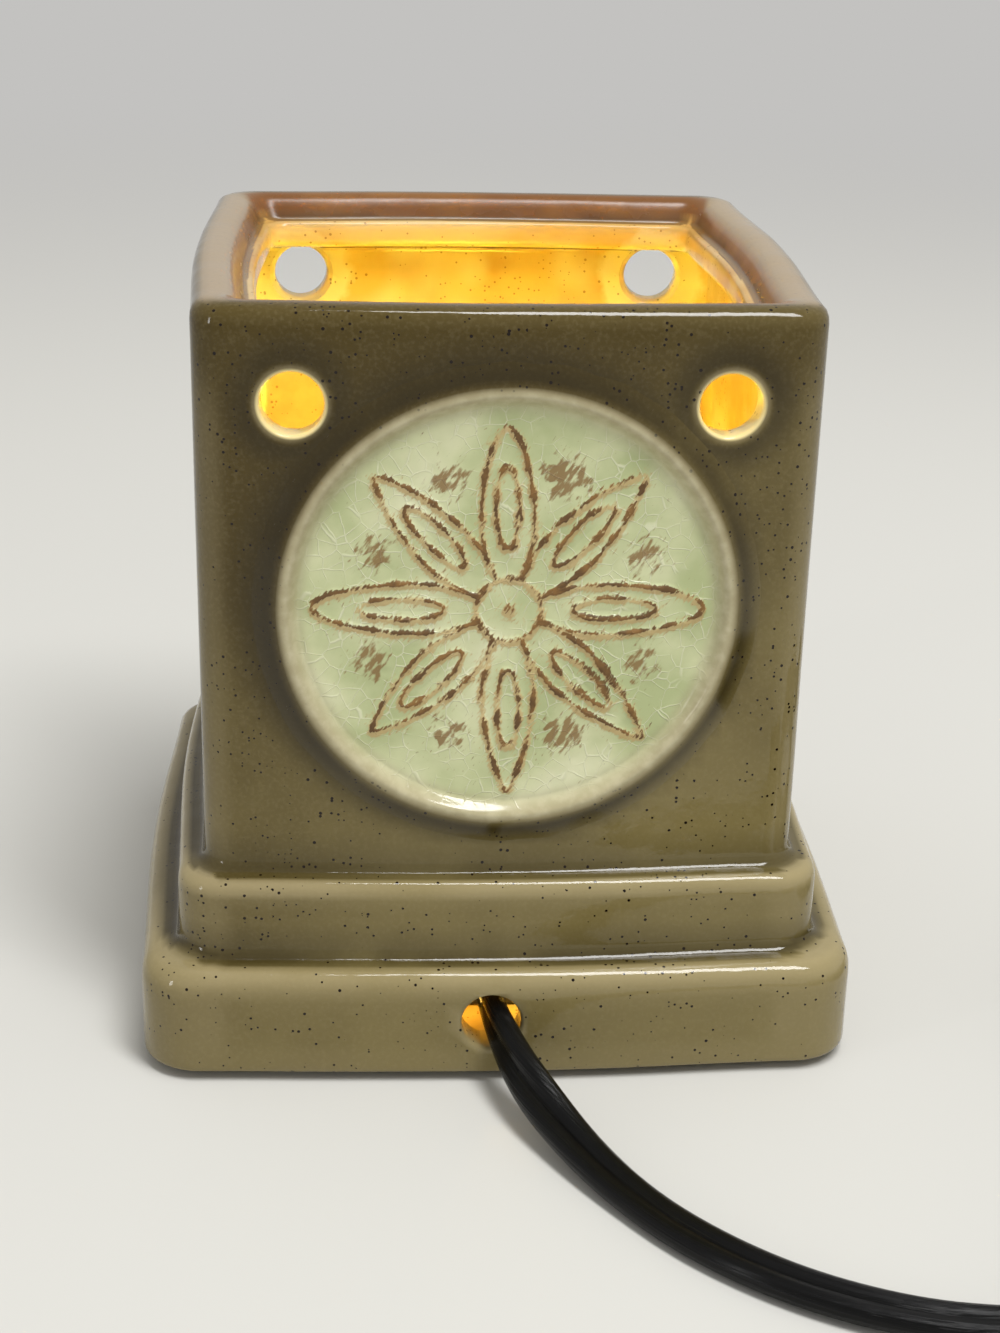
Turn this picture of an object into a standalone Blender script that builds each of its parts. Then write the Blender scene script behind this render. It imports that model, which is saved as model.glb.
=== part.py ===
"""Square ceramic wax warmer: a glazed body lit by a small bulb, with its cord, cord switch and plug.

Metres, +Z up. The origin is at the middle of the underside of the pads, and the cord leaves on the
-Y side. The dish that holds the wax is not part of it: the rim has the ledge that a dish seats on.
"""

import math

import bmesh
import bpy
import numpy as np
from mathutils import Matrix, Vector

# Clearances
GAP = 0.0003
RUNNING_GAP = 0.0005
THREAD_CLEARANCE = 0.00035

# Ceramic body, from the crest down
BODY_WIDTH = 0.105
BODY_HEIGHT = 0.1007
BODY_CORNER = 0.0065
PLINTH_CORNER = 0.0105
SIDE_BOW = 0.0017
WALL = 0.0055
RIM_WIDTH = 0.011
RIM_ROUND = 0.0036
RIM_CREST = 0.0064
RIM_INNER_ROUND = 0.0016
SEAT_DROP = 0.0047
SEAT_WIDTH = 0.0013
LIP_HEIGHT = 0.0046
LIP_ROUND = 0.001
LIP_UNDERCUT = 0.0014
STEP_HEIGHT = 0.0147
STEP_OVERHANG = 0.0047
STEP_ROUND = 0.0033
PLINTH_HEIGHT = 0.0195
PLINTH_OVERHANG = 0.0066
PLINTH_ROUND = 0.005
CREASE_FILLET = 0.0012
INNER_FILLET = 0.002
FOOT_ROUND = 0.0012
FOOT_RIM = 0.0015
FLOOR_THICKNESS = 0.0035

# Holes in the body
VENT_DIAMETER = 0.0105
VENT_SPACING = 0.072
VENT_DROP = 0.0161
CORD_HOLE_DIAMETER = 0.0104
CORD_HOLE_RISE = 0.0054
CORD_HOLE_SHIFT = -0.002

# Round medallion on the front and the rear
MEDALLION_DIAMETER = 0.0784
MEDALLION_RISE = 0.0493
MEDALLION_RECESS = 0.0026
BEAD_WIDTH = 0.004
BEAD_PROUD = 0.0017
DISC_SINK = 0.0005

# Pads under the corners
PAD_RADIUS = 0.006
PAD_THICKNESS = 0.0027
PAD_INSET = 0.0165

# Raised lamp seat in the floor, and what clamps the lamp holder to it
SEAT_RADIUS = 0.029
SEAT_RISE = 0.0065
SEAT_THICKNESS = 0.004
SEAT_WALL = 0.005
NIPPLE_RADIUS = 0.005
NIPPLE_BORE = 0.0032
NUT_FLATS = 0.014
NUT_THICKNESS = 0.003
WASHER_RADIUS = 0.0115
WASHER_THICKNESS = 0.001
NIPPLE_END = 0.0006

# Lamp holder
SOCKET_WALL = 0.0037
SOCKET_HEIGHT = 0.038
SOCKET_FLOOR = 0.005
SHELL_SHEET = 0.0005
SHELL_TURNS = 6
BLOCK_HEIGHT = 0.0063
PLUNGER_HEAD_RADIUS = 0.0026
PLUNGER_HEAD_HEIGHT = 0.0012
PLUNGER_SHAFT_RADIUS = 0.0014
SPRING_WIRE = 0.0004
SPRING_COILS = 2
SPRING_HEIGHT = 0.0028
TERMINAL_RADIUS = 0.0026
TERMINAL_HEAD = 0.0018
TERMINAL_SHANK = 0.0013
TERMINAL_RISE = 0.0195

# Bulb with its screw cap
THREAD_RADIUS = 0.00815
THREAD_DEPTH = 0.0005
THREAD_PITCH = 0.00282
CAP_TURNS = 4
CAP_SHEET = 0.0004
CAP_HEIGHT = 0.016
TIP_RADIUS = 0.0024
TIP_HEIGHT = 0.001
INSULATOR_HEIGHT = 0.0036
BULB_RADIUS = 0.0175
BULB_LENGTH = 0.059
GLASS = 0.0008
NECK_DEPTH = 0.0045
STEM_RADIUS = 0.0022
STEM_HEIGHT = 0.016
POST_RADIUS = 0.0004
POST_HEIGHT = 0.009
FILAMENT_SPAN = 0.014
FILAMENT_RADIUS = 0.0003

# Cord and its grip beside the lamp holder
CORD_THICKNESS = 0.0038
CORD_WIDTH = 0.0076
GRIP_LENGTH = 0.009
GRIP_WIDTH = 0.014
GRIP_FLOOR = 0.001
GRIP_BAR = 0.0025
GRIP_SCREW_RADIUS = 0.0012
GRIP_SCREW_HEAD = 0.0012
GRIP_SETBACK = 0.0012
WIRE_RADIUS = 0.0011

# Coil of the spare cord
COIL_RADIUS = 0.0455
COIL_TURNS = 4.228
COIL_PITCH = 0.0048
COIL_LAYER_GAP = 0.0007
COIL_POINTS = 24
COIL_LEAD = 0.042
TAIL_LENGTH = 0.052
TIE_SHEET = 0.0008
TIE_WIDTH = 0.006
TIE_CORNER = 0.002
TIE_TURN = 0.6

# Switch on the cord
SWITCH_LENGTH = 0.052
SWITCH_WIDTH = 0.022
SWITCH_LOWER = 0.0067
SWITCH_UPPER = 0.0092
SWITCH_WALL = 0.0019
SWITCH_END_WALL = 0.0026
SWITCH_CORNER = 0.006
SWITCH_EDGE = 0.0012
WHEEL_RADIUS = 0.0095
WHEEL_THICKNESS = 0.004
WHEEL_PROUD = 0.002
WHEEL_NOTCHES = 20
WHEEL_NOTCH = 0.0005
WHEEL_PIN = 0.0015
CASE_SCREW_RADIUS = 0.0013
CASE_SCREW_HEAD = 0.0025
CASE_SCREW_HEAD_HEIGHT = 0.0012
CASE_SCREW_SETBACK = 0.0085
CONTACT_SHEET = 0.0005
CONTACT_WIDTH = 0.003
CONTACT_LENGTH = 0.007

# Plug
PLUG_LENGTH = 0.026
PLUG_WIDTH = 0.024
PLUG_HEIGHT = 0.014
PLUG_EDGE = 0.003
RELIEF_LENGTH = 0.022
RELIEF_WALL = 0.0011
RELIEF_SPREAD = 0.003
BLADE_SPACING = 0.0127
BLADE_WIDTH = 0.00635
BLADE_SHEET = 0.0015
BLADE_LENGTH = 0.0165
BLADE_ROOT = 0.009

# Levels
FLOOR_UNDER = PAD_THICKNESS + GAP
FLOOR_TOP = FLOOR_UNDER + FLOOR_THICKNESS
FOOT_LEVEL = FLOOR_UNDER - FOOT_RIM
PLINTH_TOP = FOOT_LEVEL + PLINTH_HEIGHT
STEP_TOP = PLINTH_TOP + STEP_HEIGHT
CREST = STEP_TOP + BODY_HEIGHT
SEAT_TOP = FLOOR_TOP + SEAT_RISE
SEAT_UNDER = SEAT_TOP - SEAT_THICKNESS
SOCKET_BASE = SEAT_TOP + GAP + WASHER_THICKNESS + GAP
UPPER_NUT = SOCKET_BASE + SOCKET_FLOOR + GAP
BLOCK_BASE = UPPER_NUT + NUT_THICKNESS + GAP
BLOCK_TOP = BLOCK_BASE + BLOCK_HEIGHT
NIPPLE_TOP = BLOCK_BASE + NIPPLE_END
LOWER_NUT = SEAT_UNDER - GAP - WASHER_THICKNESS - GAP - NUT_THICKNESS
NIPPLE_BASE = LOWER_NUT - NIPPLE_END
PLUNGER_HEAD = BLOCK_TOP + GAP + SPRING_HEIGHT + GAP
BULB_BASE = PLUNGER_HEAD + PLUNGER_HEAD_HEIGHT + GAP
MEDALLION_LEVEL = STEP_TOP + MEDALLION_RISE
VENT_LEVEL = CREST - VENT_DROP
CORD_HOLE_LEVEL = FLOOR_TOP + CORD_HOLE_RISE

# Half widths and radii
BODY_HALF = BODY_WIDTH / 2
FACE = BODY_HALF + SIDE_BOW
PLINTH_OFFSET = STEP_OVERHANG + PLINTH_OVERHANG
PLINTH_HALF = BODY_HALF + PLINTH_OFFSET
SHELL_CREST = THREAD_RADIUS + THREAD_CLEARANCE
SHELL_OUTSIDE = SHELL_CREST + THREAD_DEPTH + SHELL_SHEET
SOCKET_BORE = SHELL_OUTSIDE + GAP
SOCKET_RADIUS = SOCKET_BORE + SOCKET_WALL
CAP_INSIDE = THREAD_RADIUS - THREAD_DEPTH - CAP_SHEET
NECK_RADIUS = CAP_INSIDE - GAP

# Cord route: hand-chosen points (x, y, z) with the turn of its flat side, 0 on edge and -90 lying flat
GRIP_REACH = BODY_HALF + STEP_OVERHANG - WALL - GRIP_SETBACK - GRIP_LENGTH / 2
GRIP_LEVEL = FLOOR_TOP + GAP + GRIP_FLOOR + GAP + CORD_WIDTH / 2
CORD_ON_FLOOR = GAP + CORD_THICKNESS / 2
CORD_IN_SWITCH = GAP + SWITCH_WALL + GAP + CORD_THICKNESS / 2
CORD_IN_COIL = GAP + TIE_SHEET + GAP + CORD_WIDTH / 2
GRIP_INNER = -GRIP_REACH + GRIP_LENGTH / 2
GRIP_OUTER = -GRIP_REACH - GRIP_LENGTH / 2
CORD_HEADING = math.radians(20)
SWITCH_ENTRY = Vector((0.0888, -0.1379, CORD_IN_SWITCH))
LOOSE_ROUTE = (
    (CORD_HOLE_SHIFT + 0.0006, -0.0615, CORD_HOLE_LEVEL + 0.0001, 0),
    (0.0026, -0.0760, 0.0087, -30),
    (0.0092, -0.0885, 0.0046, -75),
    (0.0165, -0.1005, CORD_ON_FLOOR + 0.0003, -90),
    (0.0300, -0.1180, CORD_ON_FLOOR, -90),
    (0.0470, -0.1310, CORD_ON_FLOOR + 0.0002, -90),
    (0.0650, -0.1383, CORD_ON_FLOOR + 0.0008, -90),
)

# Tail of the coil: share of its length, step aside, share of its fall to the plug, and turn of its flat side
TAIL_STOPS = (
    (0.0, 0.0, 0.0, 0),
    (0.3, 0.001, 0.0, 0),
    (0.62, 0.0028, 0.55, 50),
    (0.88, 0.0035, 1.0, 90),
    (1.0, 0.0036, 1.0, 90),
)

# Facets
FINE = 32
ROUND = 20
SMALL = 10
CORNER_STEPS = 5
ARC_STEPS = 3

FINISHES = {
    "taupe_glaze": ((0.155, 0.127, 0.065), 0.22, 0.0),
    "green_glaze": ((0.51, 0.61, 0.36), 0.25, 0.0),
    "felt": ((0.03, 0.03, 0.03), 0.95, 0.0),
    "zinc": ((0.55, 0.54, 0.52), 0.4, 1.0),
    "fibre": ((0.22, 0.07, 0.03), 0.8, 0.0),
    "porcelain": ((0.82, 0.79, 0.72), 0.3, 0.0),
    "brass": ((0.66, 0.48, 0.2), 0.35, 1.0),
    "phenolic": ((0.03, 0.022, 0.018), 0.45, 0.0),
    "nickel": ((0.62, 0.6, 0.56), 0.3, 1.0),
    "glass": ((0.95, 0.93, 0.88), 0.05, 0.0),
    "tungsten": ((0.25, 0.24, 0.24), 0.5, 1.0),
    "black_plastic": ((0.012, 0.012, 0.013), 0.3, 0.0),
    "cord_vinyl": ((0.008, 0.008, 0.009), 0.35, 0.0),
}


def clear_scene():
    """Empties the scene."""
    for obj in list(bpy.data.objects):
        bpy.data.objects.remove(obj)


def new_collection(name):
    """A collection of the scene."""
    made = bpy.data.collections.new(name)
    bpy.context.scene.collection.children.link(made)
    return made


def finish(name):
    """The material of that name from FINISHES, made once."""
    if name in bpy.data.materials:
        return bpy.data.materials[name]
    colour, roughness, metallic = FINISHES[name]
    made = bpy.data.materials.new(name)
    made.use_nodes = True
    shader = made.node_tree.nodes["Principled BSDF"]
    shader.inputs["Base Color"].default_value = (*colour, 1)
    shader.inputs["Roughness"].default_value = roughness
    shader.inputs["Metallic"].default_value = metallic
    return made


def put(name, data, look=None, parent=None, at=(0, 0, 0), turn=(0, 0, 0)):
    """An object of the part, or a cutter where it has no look."""
    obj = bpy.data.objects.new(name, data)
    obj.location = at
    obj.rotation_euler = turn
    obj.parent = parent
    if look is None:
        CUTTERS.objects.link(obj)
        obj.hide_render = True
        obj.display_type = "WIRE"
    else:
        PARTS.objects.link(obj)
        data.materials.append(finish(look))
    return obj


def frame(name, at, turn=(0, 0, 0)):
    """An empty that other objects are placed from."""
    empty = bpy.data.objects.new(name, None)
    empty.location = at
    empty.rotation_euler = turn
    empty.empty_display_size = 0.01
    PARTS.objects.link(empty)
    return empty


def arc(centre, radius, start, end, steps=ARC_STEPS):
    """Points of an arc in a plane, from one angle to another in degrees."""
    angles = [math.radians(start + (end - start) * i / steps) for i in range(steps + 1)]
    return [(centre[0] + radius * math.cos(a), centre[1] + radius * math.sin(a)) for a in angles]


def circle(radius, steps, centre=(0, 0)):
    """Points of a whole circle."""
    return arc(centre, radius, 0, 360, steps)[:-1]


def rounded_outline(half_x, half_y, radius, bow=0.0):
    """A rectangle with round corners, anticlockwise, the middle third of each side standing out by a bow."""
    points = []
    for sx, sy, start in ((1, 1, 0), (-1, 1, 90), (-1, -1, 180), (1, -1, 270)):
        centre = (sx * (half_x - radius), sy * (half_y - radius))
        points += arc(centre, radius, start, start + 90, CORNER_STEPS)
        if not bow:
            continue
        side = math.radians(start + 90)
        outward = Vector((math.cos(side), math.sin(side)))
        ahead = Vector((-outward.y, outward.x))
        length = 2 * ((half_x if start % 180 == 0 else half_y) - radius)
        last = Vector(points[-1]) + outward * bow
        points += [tuple(last + ahead * length / 3), tuple(last + ahead * length * 2 / 3)]
    return points


def spline(curve, points, closed):
    """Adds a run of straight pieces through points of 2 to 4 numbers, the fourth the tilt in degrees."""
    run = curve.splines.new("POLY")
    run.points.add(len(points) - 1)
    run.use_cyclic_u = closed
    for knot, values in zip(run.points, points):
        x, y, z, tilt = (*values, 0, 0)[:4]
        knot.co = (x, y, z, 1)
        knot.tilt = math.radians(tilt)


def as_mesh(obj, look=None):
    """Turns a curve object into a mesh object of the same name and place."""
    bpy.context.view_layer.update()
    mesh = bpy.data.meshes.new_from_object(obj.evaluated_get(bpy.context.evaluated_depsgraph_get()))
    name, place, parent = obj.name, obj.matrix_world.copy(), obj.parent
    bpy.data.objects.remove(obj)
    shape = bmesh.new()
    shape.from_mesh(mesh)
    bmesh.ops.remove_doubles(shape, verts=shape.verts, dist=1e-6)
    bmesh.ops.recalc_face_normals(shape, faces=shape.faces)
    shape.to_mesh(mesh)
    shape.free()
    mesh.materials.clear()
    made = put(name, mesh, look)
    made.parent = parent
    made.matrix_world = place
    return made


def smooth(obj, angle=35):
    """Shades a mesh smooth, with its sharper edges kept."""
    obj.data.shade_smooth()
    obj.data.set_sharp_from_angle(angle=math.radians(angle))
    return obj


def turned(name, profile, steps, look=None, **place):
    """A profile of (radius, height) points, run down the outer side, turned about Z."""
    count = len(profile)
    edges = [(i, i + 1) for i in range(count - 1)]
    if profile[0][0] > 0 or profile[-1][0] > 0:
        edges.append((count - 1, 0))
    mesh = bpy.data.meshes.new(name)
    mesh.from_pydata([(r, 0, z) for r, z in profile], edges, [])
    obj = put(name, mesh, look, **place)
    screw = obj.modifiers.new("Turn", "SCREW")
    screw.steps = steps
    screw.render_steps = steps
    screw.use_merge_vertices = True
    screw.merge_threshold = 1e-5
    screw.use_smooth_shade = True
    return obj


def ring(name, inner, outer, low, high, steps, look=None, **place):
    """A plain ring between two radii and two heights."""
    profile = [(outer, high), (outer, low), (inner, low), (inner, high)]
    return turned(name, profile, steps, look, **place)


def cylinder(name, radius, low, high, steps, look=None, **place):
    """A cylinder about its own Z between two heights."""
    mesh = bpy.data.meshes.new(name)
    shape = bmesh.new()
    middle = Matrix.Translation((0, 0, (low + high) / 2))
    bmesh.ops.create_cone(
        shape, cap_ends=True, segments=steps, radius1=radius, radius2=radius, depth=high - low, matrix=middle
    )
    shape.to_mesh(mesh)
    shape.free()
    return smooth(put(name, mesh, look, **place), 50)


def block(name, size, look=None, edge=0.0, **place):
    """A box about its own middle, with its edges rounded."""
    mesh = bpy.data.meshes.new(name)
    shape = bmesh.new()
    bmesh.ops.create_cube(shape, size=1, matrix=Matrix.Diagonal((*size, 1)))
    shape.to_mesh(mesh)
    shape.free()
    obj = put(name, mesh, look, **place)
    if edge:
        round_edges(obj, edge)
    return obj


def round_edges(obj, width, segments=2):
    """Rounds the sharp edges."""
    bevel = obj.modifiers.new("Edges", "BEVEL")
    bevel.width = width
    bevel.segments = segments
    bevel.limit_method = "ANGLE"
    bevel.angle_limit = math.radians(50)


def plate(name, outlines, low, high, look=None, **place):
    """A flat plate between two heights, whose later outlines are holes."""
    curve = bpy.data.curves.new(name, "CURVE")
    curve.dimensions = "2D"
    curve.fill_mode = "BOTH"
    curve.extrude = (high - low) / 2
    for outline in outlines:
        spline(curve, outline, closed=True)
    x, y, z = place.pop("at", (0, 0, 0))
    return as_mesh(put(name, curve, look, at=(x, y, z + (low + high) / 2), **place), look)


def tube(name, points, radius, look, resolution=2, flat=0.0, **place):
    """A tube along points, round or, with a flat, as wide again as that on both sides."""
    curve = bpy.data.curves.new(name, "CURVE")
    curve.dimensions = "3D"
    curve.twist_mode = "Z_UP"
    curve.fill_mode = "FULL"
    curve.bevel_depth = radius
    curve.extrude = flat
    curve.bevel_resolution = resolution
    curve.use_fill_caps = True
    spline(curve, points, closed=False)
    return put(name, curve, look, **place)


def lofted(name, profile, section, look):
    """A closed profile of (outward offset, height) points, with the section of each offset at its height."""
    rings = [[(x, y, z) for x, y in section(offset)] for offset, z in profile]
    around = len(rings[0])
    faces = []
    for i in range(len(rings)):
        low = i * around
        high = (i + 1) % len(rings) * around
        for j in range(around):
            after = (j + 1) % around
            faces.append((low + j, low + after, high + after, high + j))
    mesh = bpy.data.meshes.new(name)
    mesh.from_pydata([point for points in rings for point in points], [], faces)
    shape = bmesh.new()
    shape.from_mesh(mesh)
    bmesh.ops.recalc_face_normals(shape, faces=shape.faces)
    shape.to_mesh(mesh)
    shape.free()
    return put(name, mesh, look)


def combine(obj, others, operation):
    """Cuts other meshes out of an object, or joins them to it."""
    for other in others:
        step = obj.modifiers.new(other.name, "BOOLEAN")
        step.operation = operation
        step.object = other
    return obj


def cut(obj, *cutters):
    """Cuts each cutter out of an object."""
    return combine(obj, cutters, "DIFFERENCE")


def join(obj, *others):
    """Joins helper solids to an object."""
    return combine(obj, others, "UNION")


def smooth_route(route, spacing):
    """Points at an even spacing along a smooth curve through the route's own points."""
    knots = np.array(route, float)
    chords = np.linalg.norm(np.diff(knots[:, :3], axis=0), axis=1)
    spans = np.concatenate([chords[:1], chords, chords[-1:]])[:, None]
    padded = np.vstack([2 * knots[0] - knots[1], knots, 2 * knots[-1] - knots[-2]])
    rates = np.diff(padded, axis=0) / spans
    slopes = (rates[:-1] * spans[1:] + rates[1:] * spans[:-1]) / (spans[:-1] + spans[1:])
    dense = []
    for i, chord in enumerate(chords):
        t = np.linspace(0, 1, 60, endpoint=False)[:, None]
        start = knots[i] * (2 * t**3 - 3 * t**2 + 1) + slopes[i] * chord * (t**3 - 2 * t**2 + t)
        end = knots[i + 1] * (3 * t**2 - 2 * t**3) + slopes[i + 1] * chord * (t**3 - t**2)
        dense.append(start + end)
    dense = np.vstack([*dense, knots[-1:]])
    along = np.concatenate([[0], np.cumsum(np.linalg.norm(np.diff(dense[:, :3], axis=0), axis=1))])
    stops = np.linspace(0, along[-1], max(2, round(along[-1] / spacing) + 1))
    return np.stack([np.interp(stops, along, column) for column in dense.T], axis=1)


def route_length(points):
    """Length of a run of points."""
    return float(np.linalg.norm(np.diff(np.asarray(points)[:, :3], axis=0), axis=1).sum())


def least_gap(points, apart):
    """Least gap between stretches of a flat cord on edge that lie more than a length apart along it."""
    points = np.asarray(points)[:, :3]
    along = np.concatenate([[0], np.cumsum(np.linalg.norm(np.diff(points, axis=0), axis=1))])
    offset = points[:, None] - points[None]
    core = np.maximum(np.abs(offset[..., 2]) - (CORD_WIDTH - CORD_THICKNESS), 0)
    gaps = np.sqrt((offset[..., :2] ** 2).sum(-1) + core**2) - CORD_THICKNESS
    return float(gaps[np.abs(along[:, None] - along[None]) > apart].min())


def body_profile():
    """The ceramic wall as (outward offset, height) points: over the crest, down outside and up inside."""
    outer = arc((RIM_INNER_ROUND - RIM_CREST, CREST - RIM_INNER_ROUND), RIM_INNER_ROUND, 155, 90, 2)
    outer += arc((-RIM_ROUND, CREST - RIM_ROUND), RIM_ROUND, 90, 0, ARC_STEPS + 1)
    outer += arc((CREASE_FILLET, STEP_TOP + CREASE_FILLET), CREASE_FILLET, 180, 270, 3)
    outer += arc((STEP_OVERHANG - STEP_ROUND, STEP_TOP - STEP_ROUND), STEP_ROUND, 90, 0)
    ledge = STEP_OVERHANG + CREASE_FILLET
    outer += arc((ledge, PLINTH_TOP + CREASE_FILLET), CREASE_FILLET, 180, 270, 3)
    outer += arc((PLINTH_OFFSET - PLINTH_ROUND, PLINTH_TOP - PLINTH_ROUND), PLINTH_ROUND, 90, 0)
    outer += arc((PLINTH_OFFSET - FOOT_ROUND, FOOT_LEVEL + FOOT_ROUND), FOOT_ROUND, 0, -90, 2)
    plinth_inside = PLINTH_OFFSET - WALL
    step_inside = STEP_OVERHANG - WALL
    inner = [(plinth_inside, FOOT_LEVEL)]
    inner += arc((plinth_inside - INNER_FILLET, PLINTH_TOP - WALL - INNER_FILLET), INNER_FILLET, 0, 90, 2)
    inner += arc((step_inside + INNER_FILLET, PLINTH_TOP - WALL + INNER_FILLET), INNER_FILLET, 270, 180, 2)
    inner += arc((step_inside - INNER_FILLET, STEP_TOP - WALL - INNER_FILLET), INNER_FILLET, 0, 90, 2)
    inner += arc((INNER_FILLET - WALL, STEP_TOP - WALL + INNER_FILLET), INNER_FILLET, 270, 180, 2)
    ledge_level = CREST - SEAT_DROP
    lip_under = ledge_level - LIP_HEIGHT
    inner.append((-WALL, lip_under - LIP_UNDERCUT))
    inner += arc((LIP_ROUND - RIM_WIDTH, lip_under + LIP_ROUND), LIP_ROUND, 270, 180, 2)
    inner += arc((LIP_ROUND - RIM_WIDTH, ledge_level - LIP_ROUND), LIP_ROUND, 180, 90, 2)
    inner.append((LIP_ROUND - RIM_WIDTH + SEAT_WIDTH, ledge_level))
    return outer + inner


def body_section(offset):
    """Outline of the ceramic at an outward offset from the body's side: its corners grow rounder outwards."""
    half = BODY_HALF + offset
    corner = BODY_CORNER + (PLINTH_CORNER - BODY_CORNER) * offset / PLINTH_OFFSET
    return rounded_outline(half, half, corner, SIDE_BOW)


def make_body():
    """Ceramic body with its floor, lamp seat, vents, cord hole and medallion recesses."""
    body = lofted("ceramic_body", body_profile(), body_section, "taupe_glaze")
    floor = plate("floor", [body_section(PLINTH_OFFSET - WALL / 2)], FLOOR_UNDER, FLOOR_TOP)
    middle = (FLOOR_UNDER + FLOOR_TOP) / 2
    seat = cylinder("lamp_seat", SEAT_RADIUS, middle, SEAT_TOP, FINE)
    join(body, floor, seat)
    hollow = cylinder("seat_hollow", SEAT_RADIUS - SEAT_WALL, FOOT_LEVEL - WALL, SEAT_UNDER, FINE)
    bore = cylinder("nipple_hole", NIPPLE_RADIUS + RUNNING_GAP, FOOT_LEVEL, SEAT_TOP + WALL, ROUND)
    cut(body, hollow, bore)
    reach = PLINTH_HALF + WALL
    facing = (math.pi / 2, 0, 0)
    for name, side in (("left", -1), ("right", 1)):
        place = (side * VENT_SPACING / 2, 0, VENT_LEVEL)
        cut(body, cylinder("vents_" + name, VENT_DIAMETER / 2, -reach, reach, ROUND, at=place, turn=facing))
    outside = PLINTH_HALF + 2 * SIDE_BOW
    inside = BODY_HALF + STEP_OVERHANG - WALL - INNER_FILLET
    place = (CORD_HOLE_SHIFT, 0, CORD_HOLE_LEVEL)
    cut(body, cylinder("cord_hole", CORD_HOLE_DIAMETER / 2, inside, outside, ROUND, at=place, turn=facing))
    recess = MEDALLION_DIAMETER / 2 + GAP
    for name, angle in SIDES.items():
        turn = (math.pi / 2, 0, angle)
        floor_at = FACE - MEDALLION_RECESS
        place = (math.sin(angle) * floor_at, -math.cos(angle) * floor_at, MEDALLION_LEVEL)
        cut(body, cylinder("recess_" + name, recess, 0, MEDALLION_RECESS + WALL, FINE, at=place, turn=turn))
    return smooth(body)


def make_medallions():
    """A round plaque with a half-round bead, set in a recess on the front and the rear."""
    outer = MEDALLION_DIAMETER / 2
    bead = arc((outer - BEAD_WIDTH / 2, BEAD_PROUD - BEAD_WIDTH / 2), BEAD_WIDTH / 2, 180, 0, 6)
    back = GAP - MEDALLION_RECESS
    profile = [(0, -DISC_SINK), (outer - BEAD_WIDTH, -DISC_SINK), *bead[1:], (outer, back), (0, back)]
    for name, angle in SIDES.items():
        place = (math.sin(angle) * FACE, -math.cos(angle) * FACE, MEDALLION_LEVEL)
        turned("medallion_" + name, profile, FINE, "green_glaze", at=place, turn=(math.pi / 2, 0, angle))


def make_pads():
    """Round felt pads under the corners of the floor."""
    reach = PLINTH_HALF - PAD_INSET
    for row, sy in (("front", -1), ("rear", 1)):
        for side, sx in (("left", -1), ("right", 1)):
            place = (sx * reach, sy * reach, 0)
            cylinder(f"pad_{row}_{side}", PAD_RADIUS, 0, PAD_THICKNESS, ROUND, "felt", at=place)


def thread(radius, depth, turns, low):
    """Rounded grooves down a screw, as (radius, height) points from the top crest to the bottom crest."""
    half = THREAD_PITCH / 2
    heights = [low + half * i for i in range(2 * turns, -1, -1)]
    return [(radius - depth * (i % 2), z) for i, z in enumerate(heights)]


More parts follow.
